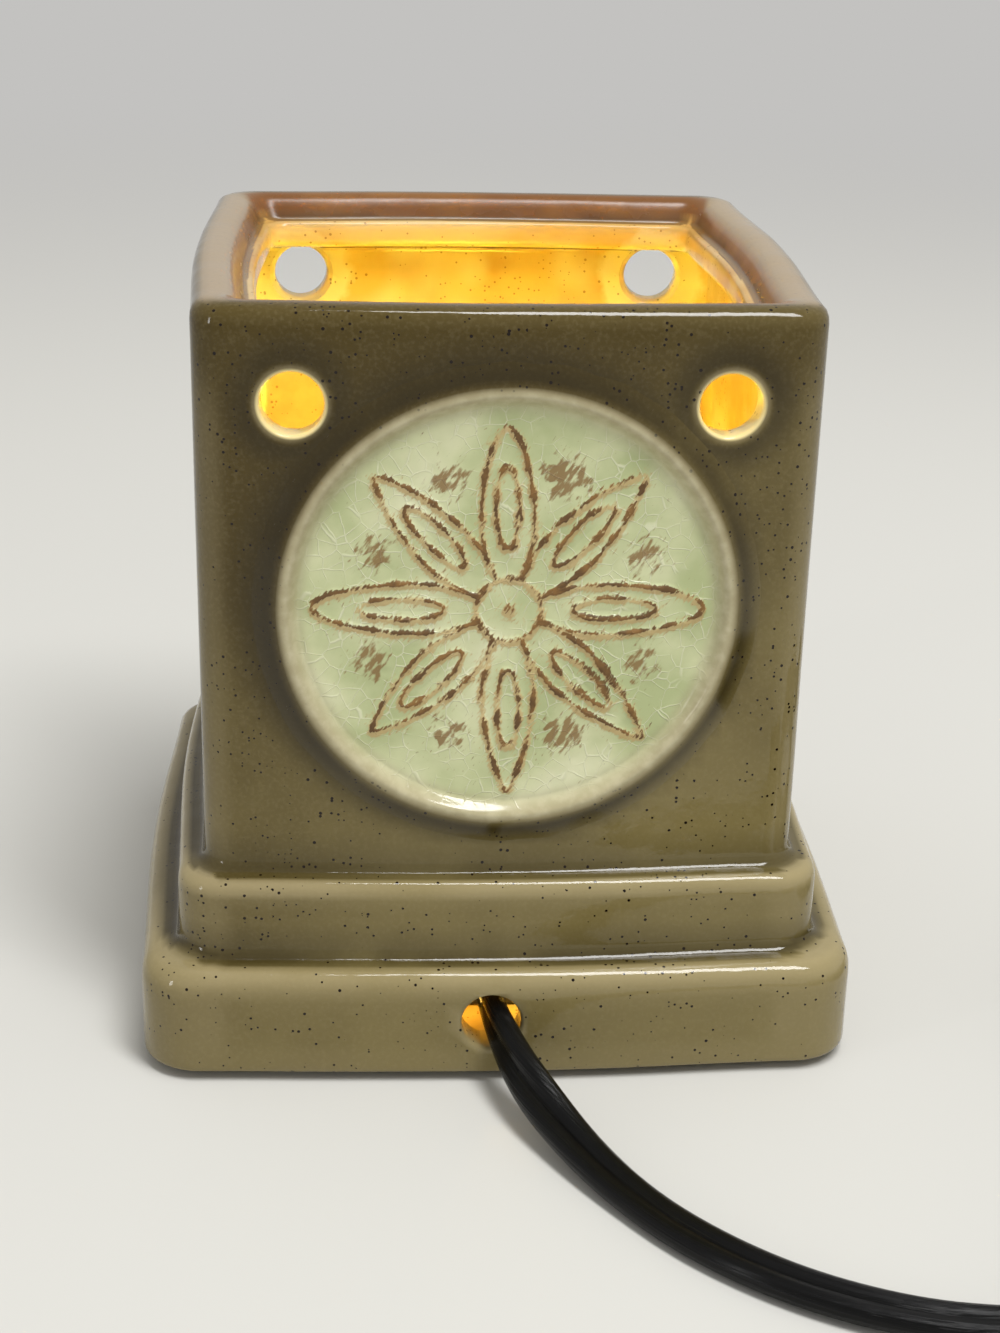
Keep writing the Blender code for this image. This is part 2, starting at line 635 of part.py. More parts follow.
def make_lamp_holder(axis):
    """Porcelain holder with its screw shell, sprung contact, terminals and the nipple that clamps it."""
    under = SEAT_UNDER - GAP
    hole = NIPPLE_RADIUS + GAP
    ring("clamp_washer", hole, WASHER_RADIUS, under - WASHER_THICKNESS, under, ROUND, "zinc", parent=axis)
    seat = SEAT_TOP + GAP
    ring("fibre_washer", hole, WASHER_RADIUS, seat, seat + WASHER_THICKNESS, ROUND, "fibre", parent=axis)
    hexagon = circle(NUT_FLATS / math.sqrt(3), 6)
    for name, low in (("nut_lower", LOWER_NUT), ("nut_upper", UPPER_NUT)):
        outlines = [hexagon, circle(hole, ROUND)]
        plate(name, outlines, low, low + NUT_THICKNESS, "zinc", parent=axis)
    ring("nipple", NIPPLE_BORE, NIPPLE_RADIUS, NIPPLE_BASE, NIPPLE_TOP, ROUND, "zinc", parent=axis)
    top = SOCKET_BASE + SOCKET_HEIGHT
    inside = SOCKET_BASE + SOCKET_FLOOR
    rim = SOCKET_WALL / 4
    profile = [(SOCKET_RADIUS - rim, top), (SOCKET_RADIUS, top - rim), (SOCKET_RADIUS, SOCKET_BASE)]
    profile += [(hole, SOCKET_BASE), (hole, inside), (SOCKET_BORE, inside), (SOCKET_BORE, top)]
    holder = turned("socket_body", profile, ROUND, "porcelain", parent=axis)
    terminal_level = SOCKET_BASE + TERMINAL_RISE
    reach = SOCKET_RADIUS + SOCKET_WALL
    sideways = (0, math.pi / 2, 0)
    drilled = cylinder(
        "terminal_holes", TERMINAL_SHANK + GAP, -reach, reach, SMALL, at=(0, 0, terminal_level), turn=sideways
    )
    cut(holder, drilled)
    head = SOCKET_RADIUS + GAP
    tip = SOCKET_RADIUS - SOCKET_WALL + GAP
    profile = [(0, head + TERMINAL_HEAD), (TERMINAL_RADIUS, head + TERMINAL_HEAD), (TERMINAL_RADIUS, head)]
    profile += [(TERMINAL_SHANK, head), (TERMINAL_SHANK, tip), (0, tip)]
    for name, turn in (("terminal_right", sideways), ("terminal_left", (0, -math.pi / 2, 0))):
        turned(name, profile, SMALL, "brass", parent=axis, at=(0, 0, terminal_level), turn=turn)
    bore = PLUNGER_SHAFT_RADIUS + RUNNING_GAP
    counter = NIPPLE_RADIUS + GAP
    side = SOCKET_BORE - GAP
    profile = [(side, BLOCK_TOP), (side, BLOCK_BASE), (counter, BLOCK_BASE), (counter, NIPPLE_TOP + GAP)]
    profile += [(bore, NIPPLE_TOP + GAP), (bore, BLOCK_TOP)]
    turned("contact_block", profile, ROUND, "phenolic", parent=axis)
    shell_base = BLOCK_TOP + GAP
    outside = thread(SHELL_OUTSIDE, THREAD_DEPTH, SHELL_TURNS, shell_base)
    inside = [(r - SHELL_SHEET, z) for r, z in reversed(outside)]
    turned("screw_shell", outside + inside, ROUND, "brass", parent=axis)


def make_contact(axis):
    """Sprung centre contact of the lamp holder."""
    shaft_foot = NIPPLE_TOP + 2 * GAP - PLUNGER_HEAD
    profile = [(0, PLUNGER_HEAD_HEIGHT), (PLUNGER_HEAD_RADIUS, PLUNGER_HEAD_HEIGHT), (PLUNGER_HEAD_RADIUS, 0)]
    profile += [(PLUNGER_SHAFT_RADIUS, 0), (PLUNGER_SHAFT_RADIUS, shaft_foot), (0, shaft_foot)]
    turned("contact_plunger", profile, SMALL, "brass", parent=axis, at=(0, 0, PLUNGER_HEAD))
    wire = SPRING_WIRE / 2
    radius = PLUNGER_SHAFT_RADIUS + RUNNING_GAP + wire
    climb = SPRING_HEIGHT - SPRING_WIRE
    low = BLOCK_TOP + GAP + wire
    count = SPRING_COILS * SMALL
    points = []
    for i in range(count + 1):
        angle = 2 * math.pi * i / SMALL
        points.append((radius * math.cos(angle), radius * math.sin(angle), low + climb * i / count))
    tube("contact_spring", points, wire, "nickel", resolution=1, parent=axis)


def bulb_outline(inset):
    """Half outline of the bulb's glass from its crown down to the end of its neck."""
    centre = BULB_LENGTH - BULB_RADIUS
    radius = BULB_RADIUS - inset
    neck = NECK_RADIUS - inset
    foot = TIP_HEIGHT + CAP_HEIGHT - NECK_DEPTH
    crown = arc((0, centre), radius, 90, -38, 9)
    join_r, join_z = crown[-1]
    neck_top = foot + NECK_DEPTH + INSULATOR_HEIGHT / 2
    sides = []
    for i in range(1, 4):
        share = i / 4
        ease = math.sin(share * math.pi / 2)
        sides.append((join_r + (neck - join_r) * ease, join_z + (neck_top - join_z) * share))
    return [(0.0, centre + radius), *crown[1:], *sides, (neck, neck_top), (neck, foot)]


def make_bulb(turning):
    """Clear round bulb with a screw cap, stem, posts and filament, about its own axis from its tip up."""
    insulator_base = TIP_HEIGHT + GAP
    cap_base = insulator_base + INSULATOR_HEIGHT / 2
    cap_top = TIP_HEIGHT + CAP_HEIGHT
    profile = [(0, TIP_HEIGHT), (TIP_RADIUS, TIP_HEIGHT), (TIP_RADIUS * 0.8, TIP_HEIGHT / 3), (0, 0)]
    turned("bulb_tip", profile, SMALL, "nickel", parent=turning)
    insulator_top = insulator_base + INSULATOR_HEIGHT
    profile = [(0, insulator_top), (NECK_RADIUS, insulator_top), (NECK_RADIUS, cap_base)]
    profile += [(TIP_RADIUS + GAP, insulator_base), (0, insulator_base)]
    turned("bulb_insulator", profile, ROUND, "phenolic", parent=turning)
    skirt = THREAD_RADIUS - THREAD_DEPTH
    grooves = thread(THREAD_RADIUS, THREAD_DEPTH, CAP_TURNS, cap_base + THREAD_PITCH / 2)
    profile = [(skirt, cap_top), *grooves, (skirt, cap_base), (CAP_INSIDE, cap_base), (CAP_INSIDE, cap_top)]
    turned("bulb_cap", profile, ROUND, "nickel", parent=turning)
    outside = bulb_outline(0)
    inside = bulb_outline(GLASS)
    turned("bulb_glass", outside + inside[::-1], ROUND, "glass", parent=turning)
    foot = cap_top - NECK_DEPTH
    flare = NECK_RADIUS - GLASS - GAP
    stem_top = foot + STEM_HEIGHT
    profile = [(0, stem_top), (STEM_RADIUS, stem_top), (STEM_RADIUS, foot + STEM_HEIGHT / 3)]
    profile += [(flare, foot), (0, foot)]
    turned("bulb_stem", profile, SMALL, "glass", parent=turning)
    post_low = stem_top + GAP
    post_high = post_low + POST_HEIGHT
    lean = STEM_RADIUS - POST_RADIUS
    for name, side in (("left", -1), ("right", 1)):
        points = [(side * lean, 0, post_low), (side * lean, 0, post_low + POST_RADIUS * 4)]
        points.append((side * FILAMENT_SPAN / 2, 0, post_high))
        tube("filament_post_" + name, points, POST_RADIUS, "nickel", resolution=1, parent=turning)
    high = post_high + POST_RADIUS + GAP + FILAMENT_RADIUS
    points = []
    for i in range(SMALL + 1):
        share = i / SMALL
        points.append((FILAMENT_SPAN * (share - 0.5), 0, high + 4 * share * (1 - share) * FILAMENT_SPAN / 6))
    tube("filament", points, FILAMENT_RADIUS, "tungsten", resolution=1, parent=turning)


def make_grip():
    """Clamp on the floor that holds the cord on edge, and the two wires from it to the terminals."""
    slot = CORD_THICKNESS + 2 * GAP
    height = GRIP_FLOOR + CORD_WIDTH + 2 * GAP
    low = FLOOR_TOP + GAP
    place = (CORD_HOLE_SHIFT, -GRIP_REACH, low + height / 2)
    base = block("grip_base", (GRIP_WIDTH, GRIP_LENGTH, height), "black_plastic", at=place)
    groove_at = (CORD_HOLE_SHIFT, -GRIP_REACH, low + GRIP_FLOOR + height)
    cut(base, block("grip_slot", (slot, 2 * GRIP_LENGTH, 2 * height), at=groove_at))
    bar_low = low + height + GAP
    place = (CORD_HOLE_SHIFT, -GRIP_REACH, bar_low + GRIP_BAR / 2)
    bar = block("grip_bar", (GRIP_WIDTH, GRIP_LENGTH, GRIP_BAR), "black_plastic", at=place)
    reach = (slot / 2 + GRIP_WIDTH / 2) / 2
    depth = height / 2
    head = bar_low + GRIP_BAR + GAP
    shank = GRIP_SCREW_RADIUS
    cap = shank * 1.6
    profile = [(0, head + GRIP_SCREW_HEAD), (cap, head + GRIP_SCREW_HEAD), (cap, head), (shank, head)]
    profile += [(shank, head - GRIP_BAR - depth), (0, head - GRIP_BAR - depth)]
    for name, side in (("left", -1), ("right", 1)):
        x = CORD_HOLE_SHIFT + side * reach
        spot = (x, -GRIP_REACH, 0)
        hole = cylinder("grip_hole_" + name, shank + GAP, low + GRIP_FLOOR, head + GRIP_BAR, SMALL, at=spot)
        cut(base, hole)
        cut(bar, hole)
        turned("grip_screw_" + name, profile, SMALL, "zinc", at=spot)
    terminal_level = SOCKET_BASE + TERMINAL_RISE
    beside = SOCKET_RADIUS + GAP + TERMINAL_HEAD / 2 + WIRE_RADIUS / 2
    start = GRIP_INNER + GAP
    touch = -TERMINAL_RADIUS - GAP
    for name, side in (("left", -1), ("right", 1)):
        level = GRIP_LEVEL - side * CORD_WIDTH / 4
        over = SEAT_TOP + 4 * WIRE_RADIUS
        rise = terminal_level - over
        run = touch - start
        route = [
            (CORD_HOLE_SHIFT, start, level),
            (CORD_HOLE_SHIFT, start + 2 * WIRE_RADIUS, level),
            (CORD_HOLE_SHIFT + side * beside * 0.25, start + run * 0.2, over),
            (side * beside * 0.75, start + run * 0.5, over + rise * 0.5),
            (side * beside * 1.08, start + run * 0.75, over + rise * 0.9),
            (side * beside, touch - 2 * WIRE_RADIUS, terminal_level),
            (side * beside, touch, terminal_level),
        ]
        points = smooth_route(route, 2.5 * WIRE_RADIUS)
        tube("lead_wire_" + name, points.tolist(), WIRE_RADIUS, "cord_vinyl", resolution=1)


def make_cord():
    """Cord from its grip through the hole and the switch to the coil, and the coil with its tail."""
    ahead = Vector((math.cos(CORD_HEADING), math.sin(CORD_HEADING), 0))
    left = Vector((-ahead.y, ahead.x, 0))
    leave = SWITCH_ENTRY + ahead * SWITCH_LENGTH
    half = COIL_LEAD - CORD_WIDTH - GAP
    finish_at = leave + ahead * half
    route = [
        (CORD_HOLE_SHIFT, GRIP_INNER, GRIP_LEVEL, 0),
        (CORD_HOLE_SHIFT, GRIP_OUTER, GRIP_LEVEL, 0),
        *LOOSE_ROUTE,
        (*(SWITCH_ENTRY - ahead * CORD_WIDTH), -90),
        (*SWITCH_ENTRY, -90),
        (*leave, -90),
        (*(leave + ahead * half * 0.25), -80),
        (*(leave + ahead * half * 0.8).xy, CORD_IN_COIL, -5),
        (*finish_at.xy, CORD_IN_COIL, 0),
    ]
    lead = smooth_route(route, 2.5 * CORD_THICKNESS)
    flat = (CORD_WIDTH - CORD_THICKNESS) / 2
    tube("cord_lead", lead.tolist(), CORD_THICKNESS / 2, "cord_vinyl", resolution=2, flat=flat)
    begin = finish_at + ahead * GAP
    meet = leave + ahead * COIL_LEAD
    layer_turns = (COIL_TURNS - 0.5) / 2
    outer = COIL_RADIUS + layer_turns * COIL_PITCH / 2
    centre = meet + left * outer
    start_angle = math.atan2(-left.y, -left.x)
    count = round(COIL_TURNS * COIL_POINTS)
    turns = np.arange(count + 1) * COIL_TURNS / count
    radii = outer - COIL_PITCH * np.minimum(turns, COIL_TURNS - turns)
    climb = np.clip((turns - layer_turns) / 0.5, 0, 1)
    climb = climb * climb * (3 - 2 * climb)
    heights = CORD_IN_COIL + climb * (CORD_WIDTH + COIL_LAYER_GAP)
    angles = start_angle + 2 * math.pi * turns
    across = centre.x + radii * np.cos(angles)
    along = centre.y + radii * np.sin(angles)
    loops = np.stack([across, along, heights, 0 * turns], axis=1)
    away = Vector((-math.sin(angles[-1]), math.cos(angles[-1]), 0))
    aside = Vector((away.y, -away.x, 0))
    last = Vector(loops[-1][:3])
    plug_level = GAP + PLUG_HEIGHT / 2
    drop = plug_level - last.z
    tail = []
    for share, side, fall, tilt in TAIL_STOPS:
        spot = last + away * TAIL_LENGTH * share + aside * side + Vector((0, 0, drop * fall))
        tail.append((*spot, tilt))
    tail = smooth_route(tail, CORD_WIDTH)
    points = np.vstack([(*begin.xy, CORD_IN_COIL, 0), loops, tail[1:]])
    tube("cord_coil", points.tolist(), CORD_THICKNESS / 2, "cord_vinyl", resolution=1, flat=flat)
    inner = outer - COIL_PITCH * COIL_TURNS / 2
    across = (outer - inner + CORD_THICKNESS) / 2 + GAP
    deep = CORD_WIDTH + COIL_LAYER_GAP / 2 + GAP
    bands = [rounded_outline(across + sheet, deep + sheet, TIE_CORNER + sheet) for sheet in (TIE_SHEET, 0)]
    spoke = start_angle + 2 * math.pi * TIE_TURN
    middle = (inner + outer) / 2
    at = (centre.x + middle * math.cos(spoke), centre.y + middle * math.sin(spoke), GAP + TIE_SHEET + deep)
    turn = (math.pi / 2, 0, spoke)
    plate("coil_tie", bands, -TIE_WIDTH / 2, TIE_WIDTH / 2, "black_plastic", at=at, turn=turn)
    print(f"coil: least gap to itself {least_gap(points, math.pi * COIL_RADIUS) * 1000:.2f} mm")
    total = route_length(lead) + GAP + route_length(points)
    print(f"cord: {total:.3f} m, of which {route_length(points):.3f} m in the coil")
    end = Vector(tail[-1][:3])
    way = Vector(tail[-1][:3]) - Vector(tail[-2][:3])
    return end, math.atan2(way.y, way.x)


def make_switch():
    """Cord switch: two half cases on the cord, a notched wheel on a pin, contacts and two screws."""
    place = frame("switch_frame", (SWITCH_ENTRY.x, SWITCH_ENTRY.y, 0), (0, 0, CORD_HEADING))
    middle = SWITCH_LENGTH / 2
    half = SWITCH_WIDTH / 2
    split = GAP + SWITCH_LOWER
    top = split + GAP + SWITCH_UPPER
    outline = [(x + middle, y) for x, y in rounded_outline(middle, half, SWITCH_CORNER)]
    inner_x = middle - SWITCH_END_WALL
    inner_y = half - SWITCH_WALL
    hollow = [(x + middle, y) for x, y in rounded_outline(inner_x, inner_y, SWITCH_CORNER - SWITCH_WALL)]
    lower = plate("switch_lower", [outline], GAP, split, "black_plastic", parent=place)
    upper = plate("switch_upper", [outline], split + GAP, top, "black_plastic", parent=place)
    floor = GAP + SWITCH_WALL
    ceiling = top - SWITCH_WALL
    round_edges(lower, SWITCH_EDGE)
    round_edges(upper, SWITCH_EDGE)
    cut(lower, plate("switch_lower_hollow", [hollow], floor, split + SWITCH_WALL, parent=place))
    cut(upper, plate("switch_upper_hollow", [hollow], split - SWITCH_WALL, ceiling, parent=place))
    channel_width = CORD_WIDTH + 4 * GAP
    channel = (2 * SWITCH_LENGTH, channel_width, SWITCH_LOWER)
    cut(lower, block("switch_channel", channel, parent=place, at=(middle, 0, floor + SWITCH_LOWER / 2)))
    wheel_y = half + WHEEL_PROUD - WHEEL_RADIUS
    wheel_top = ceiling - RUNNING_GAP
    wheel_low = wheel_top - WHEEL_THICKNESS
    slot_half = math.sqrt(WHEEL_RADIUS**2 - (inner_y - wheel_y) ** 2) + 2 * RUNNING_GAP
    slot = (2 * slot_half, 2 * (half - inner_y) + 2 * WHEEL_PROUD, WHEEL_THICKNESS + 2 * RUNNING_GAP)
    slot_at = (middle, half, (wheel_low + wheel_top) / 2)
    cut(upper, block("switch_slot", slot, parent=place, at=slot_at))
    bore = CASE_SCREW_RADIUS + GAP
    sink = CASE_SCREW_HEAD + GAP
    screw_y = SWITCH_WALL / 2 + sink - half
    sunk = SWITCH_WALL / 2
    boss = min(sink, -screw_y - channel_width / 2)
    seat = top - CASE_SCREW_HEAD_HEIGHT - GAP
    head = seat + GAP
    profile = [(0, head + CASE_SCREW_HEAD_HEIGHT), (CASE_SCREW_HEAD, head + CASE_SCREW_HEAD_HEIGHT)]
    profile += [(CASE_SCREW_HEAD, head), (CASE_SCREW_RADIUS, head), (CASE_SCREW_RADIUS, floor + GAP)]
    profile += [(0, floor + GAP)]
    for side, x in (("in", CASE_SCREW_SETBACK), ("out", SWITCH_LENGTH - CASE_SCREW_SETBACK)):
        spot = {"parent": place, "at": (x, screw_y, 0)}
        join(lower, cylinder("boss_lower_" + side, boss, floor - sunk, split, SMALL, **spot))
        join(upper, cylinder("boss_upper_" + side, boss, split + GAP, ceiling + sunk, SMALL, **spot))
        drill = cylinder("case_hole_" + side, bore, floor, top + SWITCH_WALL, SMALL, **spot)
        cut(lower, drill)
        cut(upper, drill, cylinder("case_sink_" + side, sink, seat, top + SWITCH_WALL, SMALL, **spot))
        turned("case_screw_" + side, profile, SMALL, "zinc", **spot)
    axle = (middle, wheel_y, wheel_low)
    notched = []
    for i in range(2 * WHEEL_NOTCHES):
        angle = math.pi * i / WHEEL_NOTCHES
        radius = WHEEL_RADIUS - WHEEL_NOTCH * (i % 2)
        notched.append((radius * math.cos(angle), radius * math.sin(angle)))
    outlines = [notched, circle(WHEEL_PIN + RUNNING_GAP, SMALL)]
    plate("switch_wheel", outlines, 0, WHEEL_THICKNESS, "black_plastic", parent=place, at=axle)
    pin_low = wheel_low - RUNNING_GAP - CONTACT_SHEET
    at = (middle, wheel_y, 0)
    cylinder("switch_pin", WHEEL_PIN, pin_low, ceiling - GAP, SMALL, "zinc", parent=place, at=at)
    rest = CORD_IN_SWITCH + CORD_THICKNESS / 2 + GAP
    rise = wheel_low - RUNNING_GAP - CONTACT_SHEET - rest
    run = CONTACT_LENGTH
    leg = 2 * CONTACT_SHEET
    high = rise + CONTACT_SHEET
    outline = [(0, 0), (run, 0), (run, CONTACT_SHEET), (leg, CONTACT_SHEET)]
    outline += [(leg, rise), (run * 0.7, rise), (run * 0.7, high), (0, high)]
    reach = WHEEL_PIN + RUNNING_GAP + 2 * GAP
    for name, side, turn in (("in", -1, math.pi), ("out", 1, 0)):
        spot = {"parent": place, "at": (middle + side * reach, 0, rest), "turn": (math.pi / 2, 0, turn)}
        plate("switch_contact_" + name, [outline], -CONTACT_WIDTH / 2, CONTACT_WIDTH / 2, "brass", **spot)


def make_plug(end, heading):
    """Moulded two-blade plug at the end of the cord, lying flat."""
    place = frame("plug_frame", (end.x, end.y, end.z), (0, 0, heading))
    body_x = GAP + RELIEF_LENGTH + PLUG_LENGTH / 2
    size = (PLUG_LENGTH, PLUG_WIDTH, PLUG_HEIGHT)
    body = block("plug_body", size, "black_plastic", PLUG_EDGE, parent=place, at=(body_x, 0, 0))
    small = (CORD_WIDTH / 2 + RELIEF_WALL, CORD_THICKNESS / 2 + RELIEF_WALL)
    mesh = bpy.data.meshes.new("relief")
    shape = bmesh.new()
    length = RELIEF_LENGTH + PLUG_EDGE
    lay = Matrix.Rotation(math.pi / 2, 4, "Y")
    far = 1 + RELIEF_SPREAD / small[1]
    bmesh.ops.create_cone(
        shape, cap_ends=True, segments=ROUND, radius1=1, radius2=far, depth=length, matrix=lay
    )
    bmesh.ops.scale(shape, vec=(1, small[0], small[1]), verts=shape.verts)
    shape.to_mesh(mesh)
    shape.free()
    join(body, put("plug_relief", mesh, parent=place, at=(GAP + length / 2, 0, 0)))
    face = GAP + RELIEF_LENGTH + PLUG_LENGTH
    for name, side in (("left", 1), ("right", -1)):
        y = side * BLADE_SPACING / 2
        long = BLADE_LENGTH + BLADE_ROOT
        middle = face - BLADE_ROOT + long / 2
        pocket = (long, BLADE_SHEET + 2 * GAP, BLADE_WIDTH + 2 * GAP)
        cut(body, block("blade_pocket_" + name, pocket, parent=place, at=(middle - GAP, y, 0)))
        blade = (long, BLADE_SHEET, BLADE_WIDTH)
        block("plug_blade_" + name, blade, "nickel", parent=place, at=(middle, y, 0))


def main():
    """Builds the whole object."""
    make_body()
    make_medallions()
    make_pads()
    axis = frame("lamp_axis", (0, 0, 0))
    make_lamp_holder(axis)
    make_contact(axis)
    make_bulb(frame("bulb_axis", (0, 0, BULB_BASE)))
    make_grip()
    end, heading = make_cord()
    make_switch()
    make_plug(end, heading)


SIDES = {"front": 0.0, "rear": math.pi}

clear_scene()
PARTS = new_collection("wax_warmer")
CUTTERS = new_collection("cutters")
CUTTERS.hide_render = True
main()
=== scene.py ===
"""Looks of a square ceramic wax warmer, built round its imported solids.

Metres, +Z up, with the cord on the -Y side. Each class is a sub-assembly of the warmer: its fields are sizes,
and its methods work out its surfaces and dress them.
"""

import logging
import math
from dataclasses import dataclass, field
from enum import Enum

import bmesh
import bpy
import numpy as np
from mathutils import Matrix, Vector


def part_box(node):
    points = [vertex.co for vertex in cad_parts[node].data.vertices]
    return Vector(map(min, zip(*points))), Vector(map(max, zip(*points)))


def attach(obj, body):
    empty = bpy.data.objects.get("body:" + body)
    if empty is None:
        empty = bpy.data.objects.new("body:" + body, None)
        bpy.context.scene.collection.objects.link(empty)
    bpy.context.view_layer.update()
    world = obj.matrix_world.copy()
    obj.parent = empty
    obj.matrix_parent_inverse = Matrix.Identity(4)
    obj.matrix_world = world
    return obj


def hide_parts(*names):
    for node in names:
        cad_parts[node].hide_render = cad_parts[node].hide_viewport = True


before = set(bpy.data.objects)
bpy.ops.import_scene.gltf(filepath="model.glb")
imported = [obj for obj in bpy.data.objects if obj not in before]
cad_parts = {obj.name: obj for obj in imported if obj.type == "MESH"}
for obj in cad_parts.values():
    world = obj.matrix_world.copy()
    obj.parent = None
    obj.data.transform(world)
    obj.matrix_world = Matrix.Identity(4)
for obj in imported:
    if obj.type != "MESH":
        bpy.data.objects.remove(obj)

LOG = logging.getLogger("wax_warmer")
Array = np.ndarray
Colour = tuple[float, float, float, float]
Socket = bpy.types.NodeSocket
Piece = bpy.types.Object
Place = tuple[float, float, float]
Pair = tuple[float, float]
Corners = list[Pair]

# Sizes that several sub-assemblies share
VENT_REACH = 0.0360
VENT_LEVEL = 0.1203
CORD_SHIFT = -0.0020
CORD_LEVEL = 0.0119
GRIP_INNER = -0.0415
SEAT_TOP = 0.0130
TERMINAL_LEVEL = 0.0341
THREAD_PITCH = 0.00282
CORD_GAP = 0.0003

# Names of the left and the right of a pair, with the sign of X
HANDS = (("left", -1), ("right", 1))

# Limits that meshes are made and tidied by
WELD = 1e-7
SOLID_WELD = 1e-6
FLAT_ANGLE = math.radians(1)
EDGE_ANGLE = math.radians(40)
CREASE = 42.0
ROUTE_STEPS = 60


class Rides(Enum):
    """Bodies that a piece can ride on."""

    BASE = "base"
    CONTACT = "contact"
    BULB = "bulb"
    WHEEL = "switch_wheel"


class Side(Enum):
    """Faces that carry a medallion, as their turn about Z from the cord's side."""

    FRONT = 0.0
    REAR = math.pi


# Numbers and surfaces


def tone(*screen: float) -> Colour:
    """A colour given in screen values, as linear light.

    Args:
        screen: Red, green and blue from 0 to 255.

    Returns:
        Linear red, green and blue, and 1 for the alpha.
    """
    values = np.array(screen) / 255
    linear = np.where(values <= 0.04045, values / 12.92, ((values + 0.055) / 1.055) ** 2.4)
    return (*linear.tolist(), 1.0)


def ease(value: Array, low: float, high: float) -> Array:
    """A smooth rise from 0 at low to 1 at high: 3t^2 - 2t^3 of the share t between them."""
    share = np.clip((value - low) / (high - low), 0, 1)
    return share * share * (3 - 2 * share)


def glide(value: Array, bend: float = 0.2) -> Array:
    """A rise from 0 to 1 at an even slope, with a parabola over the first and the last share of the way.

    Args:
        value: Share of the way.
        bend: Share that each parabola takes.

    Returns:
        The rise.
    """
    share = np.clip(value, 0, 1)
    near = np.minimum(share, 1 - share)
    half = np.where(near < bend, near**2 / (2 * bend), near - bend / 2) / (1 - bend)
    return np.where(share < 0.5, half, 1 - half)


def ripple(points: Array, wavelength: float, seed: int, waves: int = 12) -> Array:
    """Waviness of about -1 to 1: the sum of sine waves in seeded directions, scaled to an even spread.

    Args:
        points: Places, with the coordinates on the last axis.
        wavelength: Length of each wave.
        seed: Start of the chance numbers.
        waves: Number of sine waves.

    Returns:
        One value for each place.
    """
    chance = np.random.default_rng(seed)
    ways = chance.normal(size=(waves, points.shape[-1]))
    ways *= 2 * np.pi / wavelength / np.linalg.norm(ways, axis=1, keepdims=True)
    starts = chance.uniform(0, 2 * np.pi, waves)
    return np.sin(points @ ways.T + starts).sum(-1) * math.sqrt(1.0 / waves)


def eased(corners: Array, reach: Array | float, steps: int, closed: bool, flat: Array | None = None) -> Array:
    """Rounds the corners of a run: a parabola (1-t)^2 before + 2t(1-t) corner + t^2 after at each of them.

    Args:
        corners: Rows of the run's corners.
        reach: How far from its corner each parabola starts and ends.
        steps: Steps of each parabola.
        closed: Whether the last corner joins the first.
        flat: Places of the corners that lengths are measured in, where the rows hold other values too.

    Returns:
        Rows of the rounded run.
    """
    flat = corners if flat is None else flat
    ahead = np.roll(corners, -1, axis=0) - corners
    length = np.linalg.norm(np.roll(flat, -1, axis=0) - flat, axis=1)
    span = np.array(np.broadcast_to(reach, len(corners)), float)
    if not closed:
        span[[0, -1]] = 0
    share_after = np.minimum(span / length, 0.5)[:, None]
    share_before = np.minimum(span / np.roll(length, 1), 0.5)[:, None]
    before = corners - np.roll(ahead, 1, axis=0) * share_before
    after = corners + ahead * share_after
    t = np.linspace(0, 1, steps + 1)[None, :, None]
    curve = (1 - t) ** 2 * before[:, None] + 2 * t * (1 - t) * corners[:, None] + t**2 * after[:, None]
    return curve.reshape(-1, corners.shape[1])


def densify(run: Array, flat: Array, spacing: float) -> Array:
    """Adds rows to the long spans of a closed run, evenly, so that none is longer than a spacing.

    Args:
        run: Rows of the run.
        flat: Places of the rows that lengths are measured in.
        spacing: Longest span.

    Returns:
        Rows of the fuller run.
    """
    length = np.linalg.norm(np.roll(flat, -1, axis=0) - flat, axis=1)
    count = np.maximum(np.ceil(length / spacing), 1).astype(int)
    row = np.repeat(np.arange(len(run)), count)
    share = (np.arange(count.sum()) - np.repeat(np.cumsum(count) - count, count)) / count[row]
    return run[row] + (np.roll(run, -1, axis=0) - run)[row] * share[:, None]


def smooth_route(route: Array, spacing: float) -> Array:
    """Rows at an even spacing along a smooth curve through a route.

    Each span is the cubic that meets both of its ends with a slope taken from the spans beside it.

    Args:
        route: Rows whose first three values are a place.
        spacing: Length between the new rows.

    Returns:
        Rows along the curve, with every value carried over.
    """
    knots = np.asarray(route, float)
    chords = np.linalg.norm(np.diff(knots[:, :3], axis=0), axis=1)
    spans = np.concatenate([chords[:1], chords, chords[-1:]])[:, None]
    padded = np.vstack([2 * knots[0] - knots[1], knots, 2 * knots[-1] - knots[-2]])
    rates = np.diff(padded, axis=0) / spans
    slopes = (rates[:-1] * spans[1:] + rates[1:] * spans[:-1]) / (spans[:-1] + spans[1:])
    t = np.linspace(0, 1, ROUTE_STEPS, endpoint=False)[None, :, None]
    reach = chords[:, None, None]
    start = knots[:-1, None] * (2 * t**3 - 3 * t**2 + 1) + slopes[:-1, None] * reach * (t**3 - 2 * t**2 + t)
    end = knots[1:, None] * (3 * t**2 - 2 * t**3) + slopes[1:, None] * reach * (t**3 - t**2)
    dense = np.vstack([(start + end).reshape(-1, knots.shape[1]), knots[-1:]])
    along = distance_along(dense)
    stops = np.linspace(0, along[-1], max(2, round(along[-1] / spacing) + 1))
    return np.stack([np.interp(stops, along, column) for column in dense.T], axis=1)


def distance_along(path: Array) -> Array:
    """Length of a path up to each of its rows: the running sum of its chords."""
    return np.concatenate([[0], np.cumsum(np.linalg.norm(np.diff(path[:, :3], axis=0), axis=1))])


